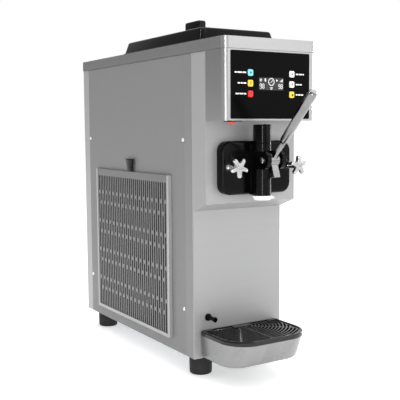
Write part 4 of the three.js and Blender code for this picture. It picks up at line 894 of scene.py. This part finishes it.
def add_display():
    """The display's smoked window with a gauge, two readouts and plain symbols."""
    _, _, y0, y1, _, _ = corners("display_module")
    left, right, low, high = display_window()
    width, height = right - left, high - low
    middle = (left + right) / 2
    inset = 0.3 * MM
    bm = bmesh.new()
    pierced(bm, round_rect(left + inset, right - inset, low + inset, high - inset, 1.2 * MM, 4),
            [], y0, y0 + 2 * MM, along_y, 0.2 * MM)
    case = 4 * MM
    pierced(bm, round_rect(left - case, right + case, low - case, high + case, 2 * MM, 3),
            [], y0 + 2.1 * MM, y1, along_y, 0.3 * MM)
    make_piece("display_window_glass", bm, "display_glass", stands_for=("display_module",), sharp=10)

    shapes = []
    row_high, row_low = low + height * 0.78, low + height * 0.32
    for share, lit in ((-0.32, "abcdefg"), (-0.42, "abcdfg"), (0.42, "abcdefg"), (0.32, "abcdfg")):
        shapes += digit(middle + width * share, row_low, height * 0.34, lit)
    shapes += snowflake(middle - width * 0.42, row_high, height * 0.26)
    cone_u = middle - width * 0.24
    cone = [(-2.2 * MM, 0), (0, -3.6 * MM), (2.2 * MM, 0)]
    shapes.append([[(cone_u + u, row_high + v) for u, v in cone]])
    shapes.append([disc(cone_u, row_high + 1.6 * MM, 1.9 * MM)])
    play_u = middle + width * 0.23
    play = [(-1.8 * MM, -2.4 * MM), (2.4 * MM, 0), (-1.8 * MM, 2.4 * MM)]
    shapes.append([[(play_u + u, row_high + v) for u, v in play]])
    for k in range(4):
        u, v = middle + width * 0.36 + k * 2 * MM, row_high - 2 * MM + k * 0.7 * MM
        shapes.append([bar(u, v, 1.2 * MM, (2 + 1.4 * k) * MM)])
    gauge_z = low + height * 0.66
    shapes.append([disc(middle, gauge_z, height * 0.3, 32), disc(middle, gauge_z, height * 0.25, 32)])
    shapes.append([bar(middle + 1 * MM, gauge_z + 1 * MM, height * 0.3, 0.9 * MM, 45)])
    reach = height * 0.2
    for degrees in range(20, 380, 45):
        u = middle + reach * math.cos(math.radians(degrees))
        v = gauge_z + reach * math.sin(math.radians(degrees))
        shapes.append([bar(u, v, 1.2 * MM, 0.6 * MM, degrees)])
    shapes.append([bar(middle, low + height * 0.2, 7 * MM, 1.4 * MM)])
    shapes.append([bar(middle, low + height * 0.1, 5 * MM, 1.2 * MM)])
    add_print("display_symbols", shapes, y0)


def key_mark(side, row, u, v):
    """A plain symbol for each key."""
    if side == "right" and row != "bottom":
        way = 1 if row == "top" else -1
        tip, base = v + way * 3 * MM, v - way * 2.2 * MM
        return [[[(u - 2.8 * MM, base), (u + 2.8 * MM, base), (u, tip)][::way]]]
    if side == "right":
        return [[disc(u + 1 * MM, v - 1 * MM, 2.6 * MM)]]
    if row == "top":
        return snowflake(u, v, 6.5 * MM)
    if row == "middle":
        return [[bar(u, v - 1.6 * MM + k * 2.2 * MM, 6 * MM, 0.9 * MM)] for k in range(3)]
    return [[disc(u, v, 3 * MM), disc(u, v, 2.1 * MM)], [bar(u, v + 2.2 * MM, 1 * MM, 3 * MM)]]


def add_keys():
    """Six sprung keys with pillowed caps; each mark rides on its key."""
    for side in ("left", "right"):
        for row in ("top", "middle", "bottom"):
            node = f"button_{side}_{row}"
            x0, x1, y0, y1, z0, z1 = corners(node)
            u, v = (x0 + x1) / 2, (z0 + z1) / 2
            body = f"{side}_{row}_key"

            def cap(half, corner, y):
                half *= MM
                return round_rect(u - half, u + half, v - half, v + half, corner * MM, 5), y

            bm = bmesh.new()
            loft(bm, [
                cap(7.7, 1.5, y1 - 11.2 * MM), cap(7.7, 1.5, y1 - 12.4 * MM), cap(6.2, 2.4, y1 - 12.5 * MM),
                cap(6.2, 2.4, y0 + 0.9 * MM), cap(6.0, 2.4, y0 + 0.45 * MM), cap(5.5, 2.3, y0 + 0.15 * MM),
                cap(4.6, 2.0, y0 + 0.02 * MM), cap(3.0, 1.4, y0),
            ], along_y)
            stem, foot = 3 * MM, y1 - 11.3 * MM
            profile = [(0, foot), (stem, foot), (stem, y1 - 0.4 * MM), (2.6 * MM, y1), (0, y1)]
            lathe(bm, profile, along_y, 20, (u, v))
            slot = SLOT_OF[node]
            make_piece(f"key_{side}_{row}", bm, slot, body, (node,), sharp=40)
            mark = key_mark(side, row, u, v)
            add_print(f"key_mark_{side}_{row}", mark, y0 + 0.02 * MM, "dark_print", body, slot)


# ---------------------------------------------------------------- dispensing head

def boolean(target, other, operation):
    """Applies a boolean between two bmeshes and returns the result; both inputs are used up."""
    objects = []
    for bm in (target, other):
        bmesh.ops.recalc_face_normals(bm, faces=bm.faces)
        mesh = bpy.data.meshes.new("operand")
        bm.to_mesh(mesh)
        bm.free()
        holder = bpy.data.objects.new("operand", mesh)
        bpy.context.scene.collection.objects.link(holder)
        objects.append(holder)
    modifier = objects[0].modifiers.new("boolean", "BOOLEAN")
    modifier.operation = operation
    modifier.solver = "EXACT"
    modifier.object = objects[1]
    bpy.context.view_layer.update()
    graph = bpy.context.evaluated_depsgraph_get()
    mesh = bpy.data.meshes.new_from_object(objects[0].evaluated_get(graph))
    result = bmesh.new()
    result.from_mesh(mesh)
    bpy.data.meshes.remove(mesh)
    for holder in objects:
        data = holder.data
        bpy.data.objects.remove(holder)
        bpy.data.meshes.remove(data)
    bmesh.ops.remove_doubles(result, verts=result.verts, dist=2e-6)
    bmesh.ops.dissolve_degenerate(result, edges=result.edges, dist=1e-6)
    return result


def fresh(build_shape, *arguments, **named):
    """A new bmesh filled by one of the shape functions."""
    bm = bmesh.new()
    build_shape(bm, *arguments, **named)
    return bm


def block(x0, x1, y0, y1, z0, z1, corner=0.5 * MM):
    """An upright block with slightly rounded corners."""
    outline = round_rect(x0, x1, y0, y1, corner, 2)
    return fresh(loft, [(outline, z0), (outline, z1)])


def rod(radius, start, end, place, steps, centre=(0.0, 0.0)):
    """A round rod from start to end along the axis that place gives."""
    return fresh(lathe, [(0, start), (radius, start), (radius, end), (0, end)], place, steps, centre)


def cut(whole, tool):
    return boolean(whole, tool, "DIFFERENCE")


def join(whole, other):
    return boolean(whole, other, "UNION")


def head_places():
    """Column centre, pivot centre and column radius, in metres."""
    cap = corners("valve_cap")
    pin = corners("handle_pivot_pin")
    column = ((cap[0] + cap[1]) / 2, (cap[2] + cap[3]) / 2)
    pivot = ((pin[2] + pin[3]) / 2, (pin[4] + pin[5]) / 2)
    return column, pivot, (cap[1] - cap[0]) / 2


def add_head():
    """The moulded head: chamfered plate, column with its bore, and two ears for the pivot pin."""
    x0, x1, y0, y1, z0, z1 = HEAD
    column, pivot, radius = head_places()
    pin = corners("handle_pivot_pin")
    pin_radius = 4.3 * MM
    plate_low = z0 + 2 * MM
    plate_front = y1 - 20.5 * MM
    corner = 22 * MM

    def plate(inset, y):
        outline = round_rect(x0 + inset, x1 - inset, plate_low + inset, z1 - inset, corner - inset, 12)
        return outline, y

    whole = fresh(loft, [
        plate(0.6 * MM, y1), plate(0, y1 - 0.6 * MM), plate(0, plate_front + 3.4 * MM),
        plate(0.25 * MM, plate_front + 2.6 * MM), plate(2.6 * MM, plate_front + 0.25 * MM),
        plate(3.4 * MM, plate_front), plate(9 * MM, plate_front),
    ], along_y)
    column_top = corners("valve_cap")[4] - 0.3 * MM
    shaft = fresh(lathe, [
        (0, z0), (radius - 1 * MM, z0), (radius, z0 + 1 * MM), (radius, column_top - 0.5 * MM),
        (radius - 0.5 * MM, column_top), (0, column_top),
    ], steps=64, centre=column)
    whole = join(whole, shaft)
    web = block(column[0] - radius + 0.4 * MM, column[0] + radius - 0.4 * MM, column[1], plate_front + 2 * MM,
                z0 + 1 * MM, column_top - 1 * MM)
    whole = join(whole, web)
    ear_radius = 18.7 * MM
    for side in (-1, 1):
        inner, outer = column[0] + side * 14 * MM, column[0] + side * 24 * MM

        def ear(shrink, x):
            back = plate_front + 1 * MM
            reach = ear_radius - shrink
            ends = [(back, pivot[1] + reach)], [(back, pivot[1] - reach)]
            return ends[0] + arc(*pivot, reach, 90, 270, 28) + ends[1], x

        shape = fresh(loft, [
            ear(0.7 * MM, inner), ear(0, inner + side * 0.7 * MM),
            ear(0, outer - side * 0.9 * MM), ear(0.9 * MM, outer),
        ], along_x)
        whole = join(whole, shape)
    whole = cut(whole, rod(pin_radius, pin[0], pin[1], along_x, 32, pivot))
    whole = cut(whole, rod(12.4 * MM, z0 - MM, z1 + MM, along_z, 48, column))
    whole = cut(whole, rod(radius + 0.6 * MM, column_top, z1 + MM, along_z, 48, column))
    column_front = column[1] - radius
    whole = cut(whole, block(column[0] - 8.8 * MM, column[0] + 8.8 * MM, column_front - 2 * MM,
                             column_front + 6.2 * MM, pivot[1] - 39.5 * MM, pivot[1]))
    whole = cut(whole, block(column[0] - 5 * MM, column[0] + 5 * MM, column_front - 2 * MM, column[1],
                             pivot[1] - 15 * MM, pivot[1] + 15 * MM))
    for side in ("left", "right"):
        washer = corners(f"knob_washer_{side}")
        stud = (washer[0] + washer[1]) / 2, (washer[4] + washer[5]) / 2
        whole = cut(whole, rod(4.5 * MM, y0, y1 + MM, along_y, 24, stud))
    make_piece("moulded_head", whole, "head_plastic", stands_for=("dispensing_head",), sharp=28)


def add_valve_cap():
    """The column's domed cap."""
    _, _, _, _, z0, z1 = corners("valve_cap")
    column, _, radius = head_places()
    bore = 12.4 * MM
    profile = [(bore, z0), (radius - 0.5 * MM, z0), (radius, z0 + 0.5 * MM), (radius, z1 - 2.6 * MM)]
    profile += [(radius - 2.2 * MM + 2.2 * MM * math.cos(a), z1 - 2.4 * MM + 2.2 * MM * math.sin(a))
                for a in (math.radians(d) for d in (15, 40, 65, 90))]
    profile += [(radius - 5 * MM, z1 - 0.2 * MM), (radius - 5.4 * MM, z1), (0, z1)]
    profile += [(0, z1 - 3 * MM), (bore, z1 - 3 * MM)]
    bm = bmesh.new()
    lathe(bm, profile, steps=56, centre=column, closed=True)
    make_piece("column_cap", bm, "head_plastic", stands_for=("valve_cap",), sharp=40)


def add_nozzle():
    """A white star-outlet cap with a flared skirt, a finger ear and grip ribs."""
    _, x1, y0, y1, z0, z1 = corners("nozzle_cap")
    column, _, _ = head_places()
    radius = (y1 - y0) / 2
    points = 72

    def ring(radius_at):
        outline = []
        for i in range(points):
            a = 2 * math.pi * i / points
            r = radius_at(a)
            outline.append((column[0] + r * math.cos(a), column[1] + r * math.sin(a)))
        return outline

    def circle(r):
        return ring(lambda a: r)

    def star(scale):
        return ring(lambda a: (7.6 + 1.9 * math.cos(6 * a)) * MM * scale)

    bm = bmesh.new()
    loft(bm, [
        (circle(radius - 6 * MM), z0 + 0.2 * MM), (circle(radius - 3.4 * MM), z0 + 1.0 * MM),
        (circle(radius - 2.6 * MM), z0 + 4.4 * MM), (circle(radius - 0.4 * MM), z0 + 5.4 * MM),
        (circle(radius), z0 + 6 * MM), (circle(radius), z1 - 0.7 * MM), (circle(radius - 0.7 * MM), z1),
        (star(1.04), z1), (star(1.0), z1 - 0.5 * MM), (star(0.92), z0 + 0.5 * MM), (star(0.98), z0),
    ], closed=True)
    ear_half = 5 * MM

    def ear(inset, z):
        outline = round_rect(column[0] + radius - 4 * MM, x1 - inset, column[1] - ear_half + inset,
                             column[1] + ear_half - inset, (0.6 * MM, 4 * MM, 4 * MM, 0.6 * MM), 5)
        return outline, z

    loft(bm, [ear(0.5 * MM, z0 + 2 * MM), ear(0, z0 + 2.5 * MM),
              ear(0, z0 + 5.5 * MM), ear(0.5 * MM, z0 + 6 * MM)])
    ribs = 18
    rib_reach = radius - 0.3 * MM
    for i in range(ribs):
        a = 2 * math.pi * i / ribs + 0.17
        if math.cos(a) > 0.9:  # the ear is here
            continue
        centre = (column[0] + rib_reach * math.cos(a), column[1] + rib_reach * math.sin(a))
        lathe(bm, [(0, z0 + 6 * MM), (0.3 * MM, z0 + 6 * MM), (0.3 * MM, z1 - 0.8 * MM), (0, z1 - 0.8 * MM)],
              centre=centre, steps=8)
    make_piece("star_nozzle", bm, "white_plastic", "nozzle", ("nozzle_cap",), sharp=35)


def add_pivot_pin():
    """A domed pin through the ears, with a circlip at its right end."""
    x0, x1, _, _, _, _ = corners("handle_pivot_pin")
    _, pivot, _ = head_places()
    shank = 3.95 * MM
    head = 6 * MM
    dome = [(head * math.cos(a), x0 + 1.1 * MM - 1.1 * MM * math.sin(a))
            for a in (math.radians(d) for d in (90, 70, 50, 30, 10))]
    clip = 5.4 * MM
    profile = dome + [(head, x0 + 3 * MM), (shank, x0 + 3 * MM), (shank, x1 - 1.7 * MM)]
    profile += [(clip, x1 - 1.7 * MM)]
    profile += [(clip, x1 - 0.7 * MM), (shank, x1 - 0.7 * MM), (shank, x1 - 0.4 * MM)]
    profile += [(shank - 0.5 * MM, x1), (0, x1)]
    bm = bmesh.new()
    lathe(bm, profile, along_x, 36, pivot)
    make_piece("pivot_pin", bm, "polished_steel", stands_for=("handle_pivot_pin",), sharp=40)


# ---------------------------------------------------------------- draw handle and knobs

HANDLE_LEAN = math.radians(44)


def add_handle():
    """One polished lever: hub, neck swelling into the grip, stub and finger."""
    _, pivot, _ = head_places()
    centre = Vector(((HEAD[0] + HEAD[1]) / 2, *pivot))
    half = 13.4 * MM
    bore, hub_radius = 4.3 * MM, 13 * MM
    edge = 1 * MM

    def across(u, v, w):
        return centre + Vector((w, u, v))

    hub = fresh(lathe, [
        (bore, -half), (hub_radius - edge, -half), (hub_radius, -half + edge),
        (hub_radius, half - edge), (hub_radius - edge, half), (bore, half),
    ], across, 48, closed=True)
    lean = Matrix.Rotation(HANDLE_LEAN, 3, "X")

    def leaning(u, v, w):
        return centre + lean @ Vector((u, v, w))

    neck, grip, length = 6 * MM, 9.4 * MM, 186 * MM
    profile = [(0, 7 * MM), (neck + 2.4 * MM, 7 * MM), (neck + 0.8 * MM, 13 * MM)]
    profile += [(neck, 19 * MM), (neck, 50 * MM)]
    profile += [(neck + 0.5 * MM, 52.4 * MM), (grip - 1.6 * MM, 55.4 * MM), (grip - 0.9 * MM, 57 * MM)]
    profile += [(grip, length - 6 * MM), (grip, length - 4.6 * MM), (grip - 0.5 * MM, length - 3.2 * MM)]
    profile += [(grip - 2.8 * MM, length - 0.7 * MM), (grip - 3.9 * MM, length), (0, length)]
    lever = fresh(lathe, profile, leaning, 40)
    whole = join(hub, lever)
    stub = ((-9, -7), (7, -9), (-4, -37), (-18, -34))

    def stub_outline(inset, x):
        middle = Vector((sum(y for y, _ in stub) / 4, sum(z for _, z in stub) / 4))
        points = []
        for y, z in stub:
            way = (middle - Vector((y, z))).normalized() * inset
            points.append(((y + way.x) * MM, (z + way.y) * MM))
        return points, x

    width = 8 * MM
    paddle = fresh(loft, [
        stub_outline(1.0, -width), stub_outline(0, -width + 0.7 * MM),
        stub_outline(0, width - 0.7 * MM), stub_outline(1.0, width),
    ], across)
    whole = join(whole, paddle)
    finger_tilt = Matrix.Rotation(math.radians(-20), 3, "X")
    reach = 34 * MM
    thick = 3 * MM
    outline = [(8 * MM, -thick), (reach, -thick)] + arc(reach, 0, thick, -90, 90, 8)[1:] + [(8 * MM, thick)]
    finger = fresh(loft, [(outline, -4 * MM), (outline, 4 * MM)],
                   lambda u, v, w: centre + finger_tilt @ Vector((w, u, v)))
    whole = join(whole, finger)
    whole = cut(whole, rod(bore, -half - MM, half + MM, across, 32))
    make_piece("lever", whole, "handle_steel", "handle", ("draw_handle",), sharp=30)


def star_ring(centre, scale, reach, first_arm, arms=5):
    """A five-armed outline: straight arms with rounded ends round a boss."""
    half = 3.9 * MM * scale
    root = half / math.tan(math.pi / arms) + 3.2 * MM * scale
    tip = reach * scale
    arm = [(-half, tip * 0.62), (-half, tip - 2.4 * MM)]
    arm += [(-half * 0.8, tip - 0.7 * MM), (-half * 0.4, tip)]
    arm += [(-x, z) for x, z in reversed(arm)]
    outline = []
    for k in range(arms):
        angle = first_arm + 2 * math.pi * k / arms
        for x, z, extra in [(*spot, 0) for spot in arm] + [(0, root, math.pi / arms)]:
            cos, sin = math.cos(angle + extra), math.sin(angle + extra)
            outline.append((centre[0] + x * cos + z * sin, centre[1] + z * cos - x * sin))
    return outline


def add_knobs():
    """Cast star knobs: domed arms on a tapered boss, a ring in the middle and a wing on each side."""
    for side in ("left", "right"):
        x0, x1, y0, y1, _, _ = corners(f"star_knob_{side}")
        washer = corners(f"knob_washer_{side}")
        centre = ((washer[0] + washer[1]) / 2, (washer[4] + washer[5]) / 2)
        reach = (x1 - x0) / 2
        first_arm = math.pi if side == "left" else 0.0
        thick = 9 * MM

        def star(scale, y):
            return star_ring(centre, scale, reach, first_arm), y

        bm = bmesh.new()
        loft(bm, [
            star(0.7, y0 + 0.9 * MM), star(0.86, y0 + 0.9 * MM), star(0.96, y0 + 1.5 * MM),
            star(1.0, y0 + 2.8 * MM), star(1.0, y0 + thick - 2.4 * MM),
            star(0.96, y0 + thick - 1 * MM), star(0.84, y0 + thick),
        ], along_y)
        lathe(bm, [
            (0, y0 + thick - 2 * MM), (9.5 * MM, y0 + thick - 2 * MM), (9.2 * MM, y0 + thick + 2 * MM),
            (6.4 * MM, y0 + thick + 9 * MM), (6.2 * MM, y1 - 8 * MM), (7.5 * MM, y1 - 6 * MM),
            (7.5 * MM, y1 - 0.5 * MM), (7 * MM, y1), (0, y1),
        ], along_y, 36, centre)
        lathe(bm, [
            (3.6 * MM, y0 + 2 * MM), (6.6 * MM, y0 + 2 * MM), (6.6 * MM, y0 + 0.6 * MM), (6 * MM, y0),
            (4.2 * MM, y0), (3.6 * MM, y0 + 0.6 * MM),
        ], along_y, 32, centre, closed=True)
        for u0, u1 in ((-13 * MM, -4 * MM), (4 * MM, 13 * MM)):
            wing = round_rect(centre[0] + u0, centre[0] + u1, y1 - 20 * MM, y1 - 10 * MM, 2.4 * MM, 4)
            loft(bm, [(wing, centre[1] - 1.6 * MM), (wing, centre[1] + 1.6 * MM)])
        make_piece(f"cast_knob_{side}", bm, "chrome", f"{side}_knob", (f"star_knob_{side}",), sharp=50)


# ---------------------------------------------------------------- drip tray

def tray_outline(x0, x1, front, corner, back, steps=14):
    """The tray's plan: large round corners at the front and small ones against the panel."""
    return round_rect(x0, x1, front, back, (corner, corner, 5 * MM, 5 * MM), steps)


def add_tray():
    """A deep-drawn steel tray: rolled edge, tapering wall and a rounded floor."""
    x0, x1, y0, _, z0, z1 = corners("drip_tray")
    back = PANEL_Y - 0.3 * MM
    top = corners("drip_grate")[4] - 0.3 * MM
    side_taper, front_taper = 3 * MM, 25 * MM
    wall = 1.6 * MM

    def section(share, rise, inset):
        side = side_taper * share + inset
        front = front_taper * share + inset
        corner = 56 * MM - 12 * MM * share - inset
        return tray_outline(x0 + side, x1 - side, y0 + front, corner, back - inset * 0.5), z0 + rise

    depth = top - z0
    round_off = 7 * MM
    outside = [(1.0, 0.0, round_off * 1.6), (1.0, 0.0, round_off)]
    outside += [(1.0 - lift * round_off / depth, lift * round_off, round_off * (1 - reach))
                for lift, reach in ((0.05, 0.31), (0.19, 0.59), (0.41, 0.81), (0.69, 0.95), (1.0, 1.0))]
    outside += [(1.0 - rise / depth, rise, 0.0) for rise in (depth * 0.4, depth * 0.7, depth)]
    sections = [section(*spot) for spot in outside]
    inside = [(share, max(rise, wall), inset + wall) for share, rise, inset in reversed(outside[3:])]
    sections += [section(*spot) for spot in inside]
    bm = bmesh.new()
    loft(bm, sections)
    for side in (-1, 1):
        x = CENTRE_X + side * 62 * MM
        hook = round_rect(back - 1.6 * MM, back, top - 6 * MM, z1, 0.4 * MM, 2)
        loft(bm, [(hook, x - 7 * MM), (hook, x + 7 * MM)], along_x)
        tongue = round_rect(back - 1 * MM, PANEL_Y + 6.5 * MM, z1 - 8 * MM, z1, 0.6 * MM, 2)
        loft(bm, [(tongue, x - 6.9 * MM), (tongue, x + 6.9 * MM)], along_x)
    make_piece("tray_shell", bm, "tray_steel", "tray", ("drip_tray",), sharp=60)


def inside_tray(u, v, box, corner, margin):
    """True where a point of the cover lies inside its edge by the margin."""
    x0, x1, front, back = box
    if not (x0 + margin < u < x1 - margin and front + margin < v < back - margin):
        return False
    reach = corner - margin
    for cx in (x0 + corner, x1 - corner):
        outside = u < cx if cx < (x0 + x1) / 2 else u > cx
        if outside and v < front + corner:
            return math.hypot(u - cx, v - front - corner) < reach
    return True


def arc_slots(box, corner, hub, margin, pitch, width, first, ribs):
    """Slots along circles about the hub, inside the cover's edge and broken at the ribs."""
    slots = []
    steps = 240
    radius = first
    while radius < math.hypot(box[1] - box[0], box[3] - box[2]):
        run = []
        for i in range(steps + 1):
            a = math.pi + math.pi * i / steps
            u, v = hub[0] + radius * math.cos(a), hub[1] + radius * math.sin(a)
            near_rib = any(abs(radius * (a - rib)) < 2.6 * MM for rib in ribs)
            fits = inside_tray(u, v, box, corner, margin + width / 2) and not near_rib
            if fits:
                run.append(a)
            if (not fits or i == steps) and run:
                if (run[-1] - run[0]) * radius > 7 * MM:
                    slots.append(slot_arc(hub, radius, width, run[0], run[-1]))
                run = []
        radius += pitch
    return slots


def slot_arc(hub, radius, width, start, end):
    """A slot with round ends along a circle about the hub, angles in radians."""
    half = width / 2
    steps = max(3, int((end - start) * radius / (3.5 * MM)))
    angles = [start + (end - start) * i / steps for i in range(steps + 1)]

    def spot(r, a):
        return hub[0] + r * math.cos(a), hub[1] + r * math.sin(a)

    outer = [spot(radius + half, a) for a in angles]
    inner = [spot(radius - half, a) for a in reversed(angles)]
    outer.append(spot(radius, end + half * 0.8 / radius))
    inner.append(spot(radius, start - half * 0.8 / radius))
    return outer + inner


def add_grate():
    """The black cover: a thick rolled edge round a thinner plate slotted in arcs."""
    x0, x1, y0, y1, z0, z1 = corners("drip_grate")
    corner = 58 * MM
    edge = 5.5 * MM

    def rim(inset, z):
        return tray_outline(x0 + inset, x1 - inset, y0 + inset, corner - inset, y1 - inset * 0.4, 16), z

    bm = bmesh.new()
    loft(bm, [
        rim(0.8 * MM, z0), rim(0, z0 + 0.9 * MM), rim(0, z1 - 2.4 * MM), rim(0.8 * MM, z1 - 0.7 * MM),
        rim(2.2 * MM, z1), rim(4.2 * MM, z1), rim(5.4 * MM, z1 - 0.6 * MM), rim(edge, z1 - 1.8 * MM),
        rim(edge, z0),
    ], closed=True)
    hub = ((x0 + x1) / 2, y1 - 3 * MM)
    box = (x0, x1, y0, y1)
    ribs = [math.radians(d) for d in (270, 318)]
    slots = arc_slots(box, corner, hub, edge + 2 * MM, 7.6 * MM, 4.4 * MM, 24 * MM, ribs)
    plate = tray_outline(x0 + edge - 0.6 * MM, x1 - edge + 0.6 * MM, y0 + edge - 0.6 * MM, corner - edge,
                         y1 - edge * 0.4, 16)
    pierced(bm, plate, slots, z1 - 5 * MM, z1 - 2 * MM, along_z, 0.7 * MM)
    centre = (x0 + x1) / 2
    small = (11 * MM, 7 * MM)
    for u, (half, depth) in ((centre, (23 * MM, 15 * MM)), (x0 + 17 * MM, small), (x1 - 17 * MM, small)):
        pad = round_rect(u - half, u + half, y1 - 3 * MM - depth, y1 - 2.7 * MM, 1.2 * MM, 3)
        top_half = half - 0.5 * MM
        shrunk = round_rect(u - top_half, u + top_half, y1 - 2.5 * MM - depth, y1 - 3.2 * MM, 1 * MM, 3)
        loft(bm, [(pad, z1 - 2.4 * MM), (pad, z1 - 0.9 * MM), (shrunk, z1 - 0.5 * MM)])
    make_piece("tray_cover", bm, "cover_plastic", "grate", ("drip_grate",), sharp=25)


def add_spout():
    """The overflow spout: flange, short tube and a rolled lip."""
    x0, x1, y0, y1, z0, z1 = corners("drain_spout")
    centre = ((x0 + x1) / 2, (z0 + z1) / 2)
    flange = (x1 - x0) / 2
    bore = 3 * MM
    neck, lip = 4.5 * MM, 5.8 * MM
    profile = [
        (bore, y0), (5 * MM, y0), (lip, y0 + 0.8 * MM), (lip, y0 + 2.4 * MM), (neck, y0 + 3.4 * MM),
        (neck, PANEL_Y - 4.2 * MM), (5.4 * MM, PANEL_Y - 3 * MM), (flange - 0.6 * MM, PANEL_Y - 2.9 * MM),
        (flange, PANEL_Y - 2.3 * MM), (flange, PANEL_Y - 0.3 * MM), (neck, PANEL_Y - 0.3 * MM),
        (neck, y1), (bore, y1),
    ]
    bm = bmesh.new()
    lathe(bm, profile, along_y, 36, centre, closed=True)
    make_piece("overflow_spout", bm, "head_plastic", stands_for=("drain_spout",), sharp=40)


def add_gland():
    """The cable gland: a hexagon flange, a ribbed clamping nut and its bore."""
    x0, x1, y0, y1, z0, z1 = corners("cable_gland")
    centre = ((x0 + x1) / 2, (z0 + z1) / 2)
    wall = REAR[3]
    bore, body, flange = 3.6 * MM, 7 * MM, 11 * MM
    bm = bmesh.new()
    lathe(bm, [
        (bore, y0), (6.6 * MM, y0), (body, y0 + 0.5 * MM), (body, y1 - 3 * MM), (6.4 * MM, y1 - 0.8 * MM),
        (5.6 * MM, y1), (bore, y1),
    ], along_y, 36, centre, closed=True)
    lathe(bm, [
        (body, wall + 0.3 * MM), (10.6 * MM, wall + 0.3 * MM), (flange, wall + 0.8 * MM),
        (flange, wall + 5.4 * MM), (10.6 * MM, wall + 6 * MM), (body, wall + 6 * MM),
    ], along_y, 6, centre, closed=True)
    ribs = 14
    for i in range(ribs):
        a = 2 * math.pi * i / ribs
        rib = (centre[0] + body * math.cos(a), centre[1] + body * math.sin(a))
        low, thick = wall + 6.5 * MM, 0.7 * MM
        lathe(bm, [(0, low), (thick, low), (thick, y1 - 3.4 * MM), (0, y1 - 3 * MM)], along_y, 8, rib)
    make_piece("inlet_gland", bm, "black_plastic", stands_for=("cable_gland",), sharp=30)


# ---------------------------------------------------------------- the whole machine

def build():
    add_camera()
    add_studio()
    add_floor()
    keep_cad_nodes()
    add_panel_screws()
    add_feet()
    add_lid()
    add_filter()
    add_filter_tab()
    add_filter_pocket()
    add_corner_flanges()
    add_rocker()
    add_fascia()
    add_display()
    add_keys()
    add_head()
    add_valve_cap()
    add_nozzle()
    add_pivot_pin()
    add_handle()
    add_knobs()
    add_tray()
    add_grate()
    add_spout()
    add_gland()


build()
